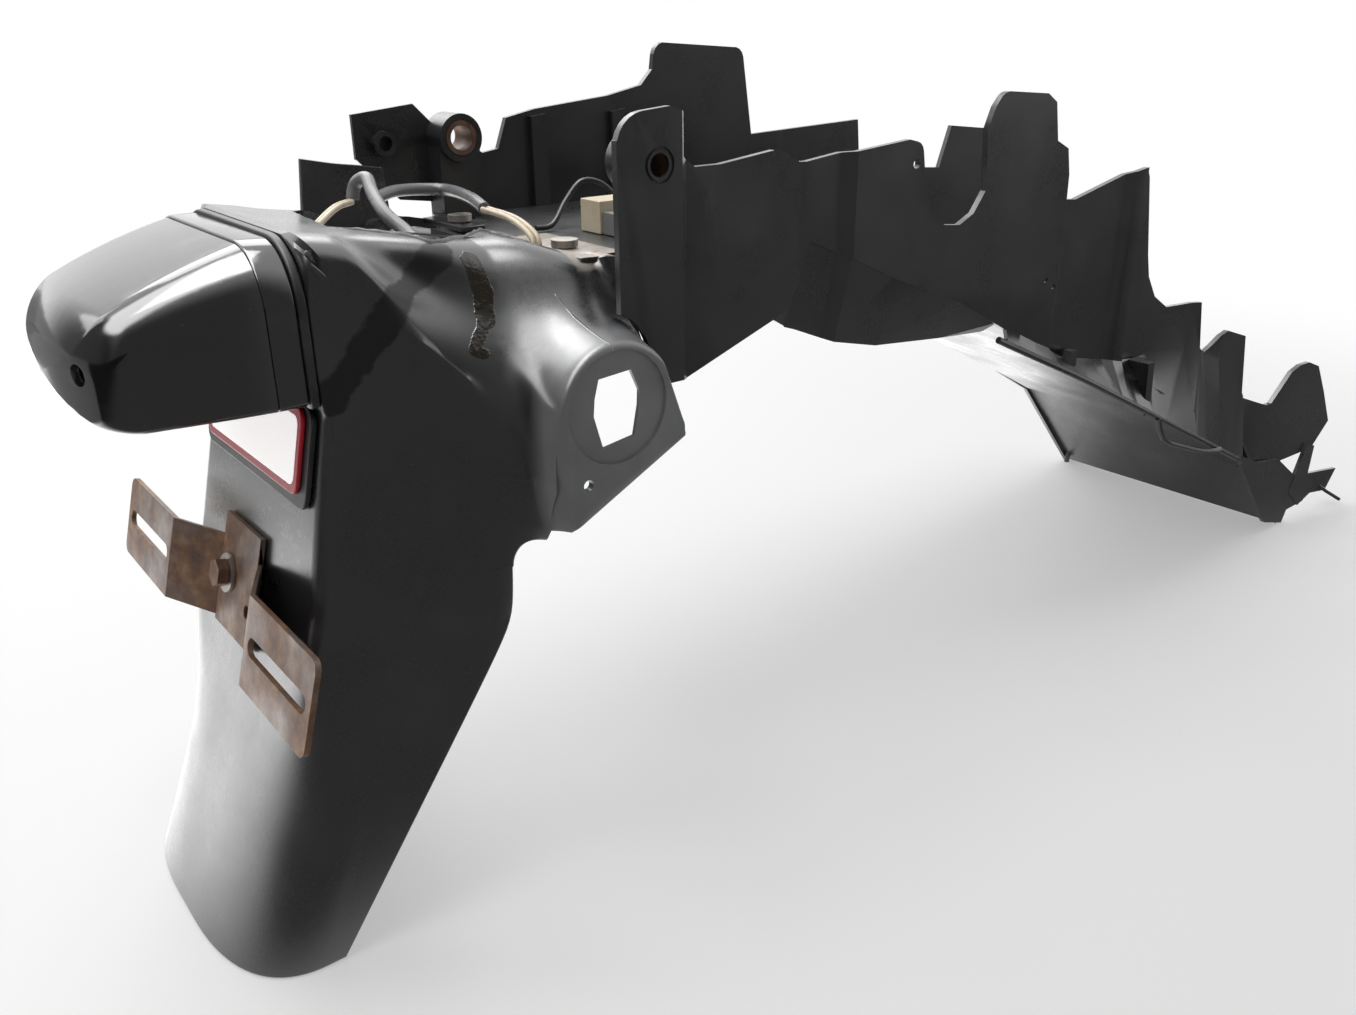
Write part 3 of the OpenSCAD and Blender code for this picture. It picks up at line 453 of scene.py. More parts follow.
def piece(name, source, slot, *replaced, material=None):
    if isinstance(source, bmesh.types.BMesh):
        mesh = bpy.data.meshes.new(name)
        source.to_mesh(mesh)
        source.free()
    else:
        mesh = source
    obj = bpy.data.objects.new(name, mesh)
    bpy.context.scene.collection.objects.link(obj)
    mesh.materials.clear()
    mesh.materials.append(material or materials[slot])
    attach(obj, "root")
    if replaced:
        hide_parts(*replaced)
    return obj


def bake(obj):
    deps = bpy.context.evaluated_depsgraph_get()
    mesh = bpy.data.meshes.new_from_object(obj.evaluated_get(deps))
    old = obj.data
    obj.modifiers.clear()
    obj.data = mesh
    bpy.data.meshes.remove(old)


def smooth_by_angle(obj, degrees, weighted=True):
    """Smooth shading with sharp edges above an angle, and face-weighted normals."""
    mesh = obj.data
    bm = bmesh.new()
    bm.from_mesh(mesh)
    for f in bm.faces:
        f.smooth = True
    for e in bm.edges:
        e.smooth = len(e.link_faces) == 2 and e.calc_face_angle(0.0) < math.radians(degrees)
    bm.to_mesh(mesh)
    bm.free()
    if weighted:
        m = obj.modifiers.new("normals", "WEIGHTED_NORMAL")
        m.keep_sharp = True


def bevelled(obj, width, angle):
    """Rounds edges sharper than an angle in degrees, by a width in millimetres."""
    m = obj.modifiers.new("edge", "BEVEL")
    m.width = width * MM
    m.segments = 2
    m.limit_method = "ANGLE"
    m.angle_limit = math.radians(angle)
    m.use_clamp_overlap = True
    bake(obj)
    smooth_by_angle(obj, 35.0)


# Radius of a sheet's outer corners, and the longest edge that counts as one across its thickness
CORNER_R, SHORT_EDGE = 4.0, 3.0


def softened(node, width, corner_from=None):
    """A copy of a CAD node with rounded edges, and rounded sheet corners beyond |y| = corner_from."""
    bm = bmesh.new()
    bm.from_mesh(nodes[node].data)
    bmesh.ops.remove_doubles(bm, verts=bm.verts, dist=1e-6)
    bmesh.ops.dissolve_limit(bm, angle_limit=math.radians(1.0), verts=bm.verts, edges=bm.edges)
    if corner_from:
        short = [e for e in bm.edges if e.calc_length() < SHORT_EDGE * MM]
        ends = [e for e in short if min(abs(v.co.y) for v in e.verts) > corner_from * MM]
        bmesh.ops.bevel(bm, geom=ends, offset=CORNER_R * MM, segments=6, profile=0.5, affect="EDGES")
    bevelled(piece(node + "_finished", bm, slot_of[node], node), width, 32.0)


def outward(bm):
    bmesh.ops.recalc_face_normals(bm, faces=bm.faces)


def lofted(bm, rings, cap_start=True, cap_end=True):
    """Closed skin through rings of equal count, in millimetres."""
    made = [[bm.verts.new(Vector(p) * MM) for p in ring] for ring in rings]
    n = len(made[0])
    for a, b in zip(made, made[1:]):
        for k in range(n):
            l = (k + 1) % n
            bm.faces.new((a[k], a[l], b[l], b[k]))
    if cap_start:
        bm.faces.new(made[0][::-1])
    if cap_end:
        bm.faces.new(made[-1])
    return made


def prism(bm, outline, shift):
    """Straight solid from an outline of points in millimetres, along shift."""
    lofted(bm, [outline, [Vector(p) + Vector(shift) for p in outline]])


def circle(centre, u, v, d, sides):
    turns = [2 * math.pi * k / sides for k in range(sides)]
    return [centre + d / 2 * (math.cos(w) * u + math.sin(w) * v) for w in turns]


def rod(bm, a, b, d, sides=64):
    a, b = Vector(a), Vector(b)
    t = (b - a).normalized()
    u = t.orthogonal().normalized()
    prism(bm, circle(a, u, t.cross(u), d, sides), b - a)


def cut(obj, fill):
    """Takes the solids that fill() draws out of obj."""
    bm = bmesh.new()
    fill(bm)
    outward(bm)
    mesh = bpy.data.meshes.new("cutter")
    bm.to_mesh(mesh)
    bm.free()
    cutter = bpy.data.objects.new("cutter", mesh)
    bpy.context.scene.collection.objects.link(cutter)
    m = obj.modifiers.new("cut", "BOOLEAN")
    m.operation = "DIFFERENCE"
    m.solver = "EXACT"
    m.object = cutter
    bake(obj)
    bpy.data.objects.remove(cutter)
    bpy.data.meshes.remove(mesh)


# Mudguard, from the same sizes as the solid, in millimetres
WALL = 2.8
FOOT_W, SIDE_W, LAMP_W, BOSS_W = 66.0, 72.0, 54.0, 92.0
FORK_X, FORK_H, FORK_R = -254.0, 139.5, 11.0
FOOT_REACH, FACE_REACH, REAR_AT_FORK, CROWN_RISE = 128.0, 66.0, 80.0, 111.0
FACE_X = FORK_X - FACE_REACH
FACE_LOW = 205.0
FACE_TOP = 261.0
CROWN_H = FORK_H + CROWN_RISE
KNEE_Z = 241.0
BOSS_X, BOSS_Z, BOSS_R = -229.5, 196.5, 24.5
BOSS_BACK = BOSS_X - BOSS_R
SWELL_RUN = 19.0
# Slopes of the rear above the fork and of the crown, and the fan's angles where the face begins and ends
REAR_SLOPE, CROWN_SLOPE = 0.225, 0.16
FACE_FROM, FACE_TO = 45.2, 62
# Points of half a section: side, corner, crown and the boss's rounded edge
SIDE_N, CORNER_N, CROWN_N, EDGE_N = 12, 20, 6, 7
# Places on the flat face, up from FACE_LOW and to each side: lamp nuts and bulb
NUT_UP, NUT_Y, BULB_UP = 20, 40, 26


def half_section(foot, free, shoulder, control, flat):
    side = [lerp(Vector((foot, free)), shoulder, i / SIDE_N) for i in range(SIDE_N)]
    corner = [bend(shoulder, control, flat, i / CORNER_N) for i in range(CORNER_N)]
    crown = [lerp(flat, Vector((0.0, flat.y)), i / CROWN_N) for i in range(CROWN_N + 1)]
    return side + corner + crown


def boss_section(foot, free, shoulder, r, control, flat):
    below = shoulder - Vector((0.0, r))
    side = [lerp(Vector((foot, free)), below, i / SIDE_N) for i in range(SIDE_N)]
    turns = [math.pi / 2 * i / EDGE_N for i in range(EDGE_N)]
    edge = [shoulder + Vector((r * math.cos(w) - r, r * math.sin(w) - r)) for w in turns]
    inner = shoulder - Vector((r, 0.0))
    hollow = [bend(inner, control, flat, i / (CORNER_N - EDGE_N)) for i in range(CORNER_N - EDGE_N)]
    crown = [lerp(flat, Vector((0.0, flat.y)), i / CROWN_N) for i in range(CROWN_N + 1)]
    return side + edge + hollow + crown


def both_sides(half):
    return half + [Vector((-p.x, p.y)) for p in half[-2::-1]]


def rear_reach(z):
    s = 1 - z / FORK_H
    return REAR_AT_FORK + (FOOT_REACH - REAR_AT_FORK) * (0.77 * s + 0.23 * s * s)


def free_reach(z):
    u = 0.85 - z / FORK_H
    return FORK_R + 46.5 * (u + math.sqrt(u * u + 0.003))


def flap_station(z, t):
    s = z / FORK_H
    k = ease((z - 0.37 * FORK_H) / (0.53 * FORK_H))
    side, rx, ry = lerp(FOOT_W, 61, k) - t, lerp(32, 6, k) - t, lerp(56, 7, k) - t
    foot, depth = lerp(FOOT_W, SIDE_W, s) - t, rear_reach(z) - t
    half = half_section(foot, free_reach(z), Vector((side, depth - rx)), Vector((side, depth)),
                        Vector((side - ry, depth)))
    return [(FORK_X - p.y, p.x, z) for p in both_sides(half)]


def fan_depth(a, t):
    c, s = math.cos(math.radians(a)), math.sin(math.radians(a))
    face = (FACE_REACH - t) / max(0.01, c)
    top = (CROWN_RISE - t) / (s - CROWN_SLOPE * c)
    if a < FACE_FROM:
        return (REAR_AT_FORK - t) / (c + REAR_SLOPE * s)
    if a < FACE_TO - 1:
        return face
    return min(face, top) - 0.8 if a < FACE_TO else top


def face_flat(z):
    low = FACE_TOP - 22
    return LAMP_W - 1 if z < low else 32 + math.sqrt(max(0.0, 21.0 ** 2 - (z - low) ** 2))


def swell(x, z):
    d = x - BOSS_BACK + SWELL_RUN + 0.5 - 0.2 * max(0.0, BOSS_Z - 21.5 - z)
    w = BOSS_W - SIDE_W
    if d <= 0:
        return 0.0
    if d < SWELL_RUN:
        return 0.8 * w * (d / SWELL_RUN) ** 3
    return w * (0.8 + 0.2 * math.sqrt(max(0.0, 1 - (max(0.0, SWELL_RUN + 4.5 - d) / 4.5) ** 2)))


def crown_flat(x):
    return lerp(48, 68, (x - BOSS_BACK) / 50)


def crown_z(x):
    return lerp(CROWN_H, KNEE_Z + 0.3 + WALL, ease((x - BOSS_BACK - 9) / 31))


def soft_rise(x):
    return 0.5 * (x + math.sqrt(x * x + 0.008))


def fan_station(a, t):
    c, s = math.cos(math.radians(a)), math.sin(math.radians(a))
    d = fan_depth(a, t)
    on_face, above = FACE_FROM < a < FACE_TO, a >= FACE_TO
    up, k = ease((a - FACE_TO) / 24), ease((a - 72) / 18)
    below, rise = (FACE_FROM - a) / FACE_FROM, (a - FACE_TO) / 28
    wide = LAMP_W + 7 * soft_rise(below) + 18 * soft_rise(rise)
    side = wide - t
    if above:
        corner = lerp(lerp(17, 21, ease((a - FACE_TO) / 10)), 14, up)
    else:
        corner = lerp(7, 4, a / FACE_FROM)
    flat = face_flat(FORK_H + d * s) if on_face else wide - corner
    if on_face:
        rx = lerp(2.5, 19, max(0.0, wide - flat) ** 2 / 22 ** 2)
    else:
        rx = corner - 6 * ease((72 - a) / 10) if above else lerp(6, 4, a / FACE_FROM)
    rx = max(0.6, rx - t)
    ry = max(0.6, side - flat)
    foot, high = SIDE_W - t, (BOSS_Z + 6 - FORK_H) / s
    half = half_section(foot, FORK_R, Vector((side, d - rx)), Vector((side, d)), Vector((side - ry, d)))
    if a >= 72:
        edge = crown_flat(BOSS_BACK)
        boss = boss_section(foot, FORK_R, Vector((foot, high - 0.4 * t)), 3,
                            Vector((edge + 5 - t, high + 5)), Vector((edge - t, d)))
        half = [lerp(p, q, k) for p, q in zip(half, boss)]
    out = []
    for p in both_sides(half):
        x, z = FORK_X - p.y * c, FORK_H + p.y * s
        push = swell(x - 0.8 * t, z) * (1 - ease((z - BOSS_Z - 3.5) / 25))
        sign = 1 if p.x > 40 else (-1 if p.x < -40 else 0)
        out.append((x, p.x + sign * push, z))
    return out


def arch_height(x):
    arch = BOSS_Z + math.sqrt(max(0.0, BOSS_R * BOSS_R - (x - BOSS_X) ** 2))
    tip = BOSS_X + BOSS_R
    line = BOSS_Z + 2.5 - 2.78 * (x - tip + 0.4)
    if x < BOSS_X:
        return max(arch, BOSS_Z + 5)
    return line if x > tip - 2 else min(arch, line)


def boss_station(step, t):
    x = BOSS_BACK + step
    low = BOSS_Z - 41.8 + step * 0.5
    high = arch_height(x) - 0.7 * t
    foot = SIDE_W + swell(x - 0.8 * t, low) - t
    y = SIDE_W + swell(x - 0.8 * t, high) - t
    flat = crown_flat(x) - t
    lean = 0.2 * ease((x + 245) / 45)
    r = min(3.0, 0.4 * (high - low))
    half = boss_section(foot, low, Vector((y, high)), r, Vector((flat + 5, high + 5)),
                        Vector((flat, crown_z(x) - t)))
    return [(x - lean * max(0.0, p.y - high), p.x, p.y) for p in both_sides(half)]


# Heights on the flap, angles round the fork and steps along the bosses
FLAP_LEVELS = finer([0.9, 4, 10, 20, 32, 46, 60, 74, 86, 97, 108, 118, 128, 139.5], 3)
LOW_ANGLES = finer([3, 7, 14, 22, 30, 38, 44.6], 4)
FACE_ANGLES = finer([45.6, 49, 52, 55, 57, 58.5, 59.8, 60.8], 2) + [61.4]
HIGH_ANGLES = finer([62.2, 63.5, 66, 69.5, 73, 76.5, 79.5, 82, 84, 85.5, 86.8, 88, 89, 90], 3)
FAN_ANGLES = LOW_ANGLES + FACE_ANGLES + HIGH_ANGLES
BOSS_STEPS = finer([0.6, 1.6, 4, 7, 11, 16, 20.5, 24.5, 29, 33, 37, 40, 43, 46, 48.5, 51, 52.8], 2)
LEVEL_ROUNDS, FAIR_ROUNDS, SIDE_ROUNDS = 500, 1500, 120


def stations(t):
    flap = [flap_station(z, t) for z in FLAP_LEVELS]
    return flap + [fan_station(a, t) for a in FAN_ANGLES] + [boss_station(s, t) for s in BOSS_STEPS]


def off_mean(grid):
    """How far the mean of the four neighbours lies from each inner point."""
    out = np.zeros_like(grid)
    around = grid[:-2, 1:-1] + grid[2:, 1:-1] + grid[1:-1, :-2] + grid[1:-1, 2:]
    out[1:-1, 1:-1] = around / 4 - grid[1:-1, 1:-1]
    return out


def blended(rows):
    """Eases the neck into the bosses' hollow tops, with the arched edges and the crown held."""
    grid = np.array(rows, float)
    m, n = grid.shape[:2]
    first_boss = len(FLAP_LEVELS) + len(FAN_ANGLES)
    free = np.zeros((m, n))
    for j in range(len(FLAP_LEVELS), m):
        if j < first_boss:
            along = ease((FAN_ANGLES[j - len(FLAP_LEVELS)] - 66) / 9)
        else:
            along = 1 - ease((BOSS_STEPS[j - first_boss] - 28) / 16)
        for i in range(n):
            c = min(i, n - 1 - i)
            across = ease((c - 5) / 7) * (1 - ease((c - SIDE_N - CORNER_N + 2) / 3))
            held = j >= first_boss and c <= SIDE_N + EDGE_N
            free[j, i] = 0.0 if held else along * across
    free[0] = free[-1] = 0
    free[:, 0] = free[:, -1] = 0
    free = free[:, :, None]
    for _ in range(LEVEL_ROUNDS):
        grid += 0.8 * free * off_mean(grid)
    for _ in range(FAIR_ROUNDS):
        grid -= 0.22 * free * off_mean(off_mean(grid))
    side = np.zeros((m, n))
    for j, a in enumerate(FAN_ANGLES):
        across = [ease(min(i, n - 1 - i) / 3) * (min(i, n - 1 - i) <= SIDE_N) for i in range(n)]
        side[j + len(FLAP_LEVELS)] = [0.5 * ease((a - 40) / 10) * ease((84 - a) / 10) * w for w in across]
    for _ in range(SIDE_ROUNDS):
        grid[1:-1] += side[1:-1, :, None] * ((grid[:-2] + grid[2:]) / 2 - grid[1:-1])
    return [[tuple(p) for p in row] for row in grid]


def rounded_shell(outer, inner):
    """Thin shell between two sets of sections, with a rounded free edge."""
    bm = bmesh.new()
    m, n = len(outer), len(outer[0])
    skin, lining = ([[bm.verts.new(Vector(p) * MM) for p in row] for row in rows]
                    for rows in (outer, inner))
    for j in range(m - 1):
        for i in range(n - 1):
            bm.faces.new((skin[j][i], skin[j][i + 1], skin[j + 1][i + 1], skin[j + 1][i]))
            bm.faces.new((lining[j][i], lining[j + 1][i], lining[j + 1][i + 1], lining[j][i + 1]))
    loop = [(0, i) for i in range(n)] + [(j, n - 1) for j in range(1, m)]
    loop += [(m - 1, i) for i in range(n - 2, -1, -1)] + [(j, 0) for j in range(m - 2, 0, -1)]
    rings = [[skin[j][i] for j, i in loop]]
    for k in (1, 2, 3):
        w = math.pi * k / 4
        ring = []
        for j, i in loop:
            o, q = Vector(outer[j][i]), Vector(inner[j][i])
            out = Vector()
            if j in (0, m - 1):
                out += (o - Vector(outer[1 if j == 0 else m - 2][i])).normalized()
            if i in (0, n - 1):
                out += (o - Vector(outer[j][1 if i == 0 else n - 2])).normalized()
            half = (o - q) / 2
            middle = (o + q) / 2 + math.cos(w) * half
            ring.append(bm.verts.new((middle + math.sin(w) * 0.6 * half.length * out.normalized()) * MM))
        rings.append(ring)
    rings.append([lining[j][i] for j, i in loop])
    for a, b in zip(rings, rings[1:]):
        for k in range(len(loop)):
            l = (k + 1) % len(loop)
            bm.faces.new((a[k], b[k], b[l], a[l]))
    outward(bm)
    return bm


# Cut opening in the crown, seen from above, and the signal hole, from the boss's middle
OPENING = [(-297, -20), (-283, -27), (-277, -33), (-273, -46), (-266, -43), (-250, -30), (-236, -18),
           (-233, -20), (-232, -42), (-222, -46), (-204, -70), (-190, -72), (-190, 62), (-222, 58),
           (-240, 56), (-268, 52), (-281, 44), (-290, 30), (-293, 6)]
STALK = [(-10.5, -0.6), (-9.9, 5.5), (-8, 12.2), (5.5, 13.3), (9.1, 5.2), (8.8, -0.2), (6.5, -11), (-7, -13)]


def ragged(outline, step=3.0, depth=0.45):
    """An outline with short uneven steps, as left by rough cutting."""
    out = []
    for k, a in enumerate(outline):
        a, b = Vector(a), Vector(outline[(k + 1) % len(outline)])
        side = Vector((a.y - b.y, b.x - a.x)).normalized()
        count = max(1, int((b - a).length / step))
        for i in range(count):
            p = lerp(a, b, i / count)
            out.append(p + side * depth * noise.noise(Vector((p.x * 0.31, p.y * 0.31, 4.0))) * 2.0)
    return out


def mudguard():
    bm = rounded_shell(blended(stations(0.0)), blended(stations(WALL)))
    obj = piece("mudguard_finished", bm, "mudguard_plastic", "rear_mudguard")

    def seats(b):
        prism(b, [(p.x, p.y, CROWN_H - 22) for p in ragged(OPENING)], (0, 0, 60))
        nut_z, bulb_z = FACE_LOW + NUT_UP, FACE_LOW + BULB_UP
        for s in (-1, 1):
            rod(b, (BOSS_X - 0.5, s * 90.8, BOSS_Z + 1), (BOSS_X - 0.5, s * 113, BOSS_Z + 1), 41, 96)
            rod(b, (FACE_X - 5, s * NUT_Y, nut_z), (FACE_X + 7, s * NUT_Y, nut_z), 6.5, 32)
        rod(b, (FACE_X - 5, 0, bulb_z), (FACE_X + 7, 0, bulb_z), 26, 48)

    def holes(b):
        x, z = BOSS_X - 14.5, BOSS_Z - 24.5
        for s in (-1, 1):
            prism(b, [(BOSS_X + px, s * 84, BOSS_Z + pz) for px, pz in STALK], (0, s * 16, 0))
            rod(b, (x, s * 84, z), (x, s * 100, z), 4, 32)

    cut(obj, seats)
    cut(obj, holes)
    smooth_by_angle(obj, 38.0, weighted=False)
    return obj


guard = mudguard()


def flange_and_fin():
    """Flanges on the undertray's ledge and the upright fin on the left."""
    bm = bmesh.new()
    for s in (-1, 1):
        flange = [(-223, 26), (-223, 61), (-212, 63), (-212, 26)]
        prism(bm, [(x, s * y, KNEE_Z + 0.5) for x, y in flange], (0, 0, 2.2))
    fin = [(-277, -9.5), (-274, 21.5), (-262, 19), (-240, 15.5), (-238, -10.5)]
    prism(bm, [(x, 58, CROWN_H + z) for x, z in fin], (0, WALL, 0))
    outward(bm)
    bevelled(piece("mudguard_flanges", bm, "mudguard_plastic", "rear_mudguard"), 0.5, 30.0)


flange_and_fin()


def guard_top(x, y):
    """Height of the mudguard's skin, seen from above, in millimetres."""
    found, place, _, _ = guard.ray_cast(Vector((x, y, 400)) * MM, Vector((0, 0, -1)))
    return place.z / MM if found and place.z > 0.2 else CROWN_H


def lip_flash():
    """Thin torn flash along the cut edge nearest the neck, as left by rough cutting."""
    near = [p for p in ragged(OPENING) if p.y < -14 and -298 < p.x < -232]
    last = len(near) - 1
    sunk = Vector((0, 0, -0.5))
    bm = bmesh.new()
    rings = []
    for k, p in enumerate(near):
        q = near[min(k + 1, last)] - near[max(k - 1, 0)]
        side = Vector((q.y, -q.x, 0)).normalized()
        fade = ease(k / 5) * ease((last - k) / 5)
        tall = 0.15 + fade * (0.55 + 1.3 * abs(noise.noise(Vector((p.x * 0.45, p.y * 0.45, 9.0)))))
        base = Vector((p.x, p.y, guard_top(p.x, p.y))) - side * 0.2
        rings.append([base + sunk, base + side * 0.9 + sunk, base + side * 0.7 + Vector((0, 0, tall * 0.5)),
                      base + side * 0.15 + Vector((0, 0, tall))])
    lofted(bm, rings)
    outward(bm)
    obj = piece("cut_edge_flash", bm, "mudguard_plastic", material=pale_flash)
    smooth_by_angle(obj, 60.0, weighted=False)
    smooth_by_angle(obj, 60.0, weighted=False)

def melted_blob():
    """Shiny lump on the shoulder behind the seal; its skin carries pale specks as painted glints."""
    bm = bmesh.new()
    bmesh.ops.create_icosphere(bm, subdivisions=4, radius=1.0)
    middle = Vector((-316.4, -51.6, 252.0))
    for v in bm.verts:
        lumpy = 1 + 0.3 * noise.noise(v.co * 1.4 + Vector((3, 1, 5))) + 0.08 * noise.noise(v.co * 4.0)
        v.co = (middle + Vector((v.co.x * 3.0, v.co.y * 1.7, v.co.z * 4.2)) * lumpy) * MM
    obj = piece("melted_blob", bm, "mudguard_plastic", material=blob_skin_painted_glints)
    smooth_by_angle(obj, 80.0, weighted=False)


lip_flash()
melted_blob()


# Lamp
COVER_LEN, LAMP_H, COVER_T = 55.1, 54.0, 2.4
SEAL_T, BASE_T, GAP = 3.0, 10.0, 0.15
LAMP_MID = FACE_LOW + 1
SEAL_X = FACE_X - GAP
BASE_X = SEAL_X - SEAL_T - GAP
COVER_X = BASE_X - BASE_T - GAP
SCREW_Y = 33


def lamp_outline(half_w, h, r, n=12):
    low = arc(half_w - 3, 3, 3, -90, 0, 4)
    left = arc(3 - half_w, 3, 3, 180, 270, 4)
    return low + arc(half_w - r, h - r, r, 0, 90, n) + arc(r - half_w, h - r, r, 90, 180, n) + left


def cover_ring(s, t, shrink=1.0):
    tip = 1 - math.sqrt(max(0.0, 1 - (max(0.0, s - 0.8) / 0.205) ** 2))
    w = lerp(LAMP_W - 1, LAMP_W - 8, s) - t - 8 * tip
    top = lerp(LAMP_H - 2, LAMP_H - 22, s * s * 0.3 + s * 0.7) - t - 10 * tip
    low = 1 + t + 4 * tip
    r = min(lerp(19, 9, s) - t * 0.5, (top - low) * 0.7)
    mid = (top + low) / 2
    out = []
    for y, z in lamp_outline(w, top - low, max(4.0, r)):
        y, z = y * shrink, lerp(mid, low + z, shrink)
        back = 15 * abs(y / LAMP_W) ** 2.7
        out.append((COVER_X - (COVER_LEN - t) * s + s * s * back, y, LAMP_MID + z))
    return out


def lamp_cover():
    steps = finer([0, 0.25, 0.5, 0.7, 0.8], 3)
    steps += [0.825, 0.85, 0.875, 0.9, 0.92, 0.94, 0.955, 0.97, 0.98, 0.99, 0.996, 1.0]
    caps = [0.92, 0.8, 0.6, 0.4, 0.2, 0.03]
    bm = bmesh.new()
    skin, lining = (lofted(bm, [cover_ring(s, t) for s in steps] + [cover_ring(1, t, c) for c in caps],
                           cap_start=False) for t in (0, COVER_T))
    n = len(skin[0])
    for k in range(n):
        l = (k + 1) % n
        bm.faces.new((skin[0][k], skin[0][l], lining[0][l], lining[0][k]))
    outward(bm)
    obj = piece("lamp_cover_finished", bm, "lamp_plastic", "lamp_cover")

    def openings(b):
        window = [(COVER_X + x, y, LAMP_MID - 2) for x, y in ((-40, -20), (-12, -20), (-12, 20), (-40, 20))]
        prism(b, window, (0, 0, 8))
        tip, z = COVER_X - COVER_LEN, FACE_LOW + NUT_UP
        for s in (-1, 1):
            rod(b, (tip - 4, s * SCREW_Y, z), (tip + 26, s * SCREW_Y, z), 7, 40)

    cut(obj, openings)
    smooth_by_angle(obj, 40.0, weighted=False)


lamp_cover()


def slab(name, x_front, depth, inset, r, edge, node, hollow, holes=()):
    """Flat piece with the lamp's outline and rounded edges.

    hollow gives the wall left round the hollow, and where it starts and ends behind the front."""
    def ring(x, more):
        outline = lamp_outline(LAMP_W - inset - more, LAMP_H - 2 * (inset + more), r - more)
        return [(x, y, LAMP_MID + inset + more + z) for y, z in outline]

    turns = [math.pi / 2 * k / 4 for k in range(5)]
    rings = [ring(x_front - edge * (1 - math.sin(w)), edge * (1 - math.cos(w))) for w in reversed(turns)]
    rings += [ring(x_front - depth + edge * (1 - math.sin(w)), edge * (1 - math.cos(w))) for w in turns]
    bm = bmesh.new()
    lofted(bm, rings)
    outward(bm)
    obj = piece(name, bm, slot_of[node], node)
    wall_in, start, end = hollow

    def inside(b):
        prism(b, ring(x_front - start, wall_in), (start - end, 0, 0))

    def bores(b):
        for y, z, d in holes:
            rod(b, (x_front + 3, y, z), (x_front - depth - 3, y, z), d, 40)

    cut(obj, inside)
    if holes:
        cut(obj, bores)
    smooth_by_angle(obj, 40.0, weighted=False)


slab("lamp_base_finished", BASE_X, BASE_T, 1.0, 20.5, 0.9, "lamp_base", (WALL, WALL, 14.0),
     [(0, FACE_LOW + BULB_UP, 20.6), (-NUT_Y, FACE_LOW + NUT_UP, 5.4), (NUT_Y, FACE_LOW + NUT_UP, 5.4)])
slab("lamp_seal_finished", SEAL_X, SEAL_T, 0.0, 21.5, 0.8, "lamp_seal", (5.0, -2.0, 6.0))


# Plain panel with a coloured rim, on its dark backing; the panel's face glows with painted light from
# panel_plastic's emission
PANEL_UP = 49.5


def on_rear_face(p):
    """Point on the flap's upper rear face: across, up and out from the panel's middle."""
    tilt = math.atan(REAR_SLOPE)
    x0 = FORK_X - REAR_AT_FORK + REAR_SLOPE * PANEL_UP
    along = Vector((math.sin(tilt), 0.0, math.cos(tilt)))
    out = Vector((-math.cos(tilt), 0.0, math.sin(tilt)))
    return Vector((x0, p[0], FORK_H + PANEL_UP)) + p[1] * along + p[2] * out


def plate_ring(half_h, half_w, r, out, lift=0.0):
    cy, cz = half_w - r, half_h - r
    pts = []
    for y, z, a in ((cy, cz, 0), (-cy, cz, 90), (-cy, -cz, 180), (cy, -cz, 270)):
        pts += arc(y, z, r, a, a + 90, 6)
    return [on_rear_face((y, z + lift, out)) for y, z in pts]


def domed_plate(name, half_h, half_w, r, low, high, slot, node, material=None, lift=0.0, edge=0.5):
    bm = bmesh.new()
    rings = [plate_ring(half_h, half_w, r, low, lift)]
    for k in range(5):
        w = math.pi / 2 * k / 4
        inset = edge * (1 - math.cos(w))
        out = high - edge + edge * math.sin(w)
        rings.append(plate_ring(half_h - inset, half_w - inset, r - inset, out, lift))
    lofted(bm, rings)
    outward(bm)
    smooth_by_angle(piece(name, bm, slot, node, material=material), 50.0)


domed_plate("panel_backing_finished", 17.5, 50, 6, 0.7, 2.3, "holder_plastic", "panel_backing",
            lift=-1.8, edge=0.7)
domed_plate("panel_rim", 15, 45, 5, 2.6, 3.85, "panel_plastic", "reflector_panel",
            material=red_skin, edge=0.6)
domed_plate("panel_face", 12, 42, 3.4, 3.0, 4.0, "panel_plastic", "reflector_panel", edge=0.3)


# Wiring: the routes of the solids
def rounder(points, steps):
    """A smooth curve through the points, with that many steps between two of them."""
    p = [Vector(q) for q in points]
    out = []
    for i in range(len(p) - 1):
        a, b, c, d = p[max(i - 1, 0)], p[i], p[i + 1], p[min(i + 2, len(p) - 1)]
        for k in range(steps):
            t = k / steps
            out.append(0.5 * (2 * b + (c - a) * t + (2 * a - 5 * b + 4 * c - d) * t * t
                              + (3 * b - a - 3 * c + d) * t ** 3))
    return out + [p[-1]]


def tube_mesh(route, d, sides=20):
    bm = bmesh.new()
    rings = []
    u = None
    for i, p in enumerate(route):
        t = (route[min(i + 1, len(route) - 1)] - route[max(i - 1, 0)]).normalized()
        u = t.orthogonal().normalized() if u is None else (u - u.dot(t) * t).normalized()
        rings.append(circle(p, u, t.cross(u), d, sides))
    lofted(bm, rings)
    outward(bm)
    return bm


def wire(name, points, d, slot, node, shift=(0, 0, 0)):
    route = [p + Vector(shift) for p in rounder(points, 8)]
    obj = piece(name, tube_mesh(route, d), slot, node)
    smooth_by_angle(obj, 50.0, weighted=False)


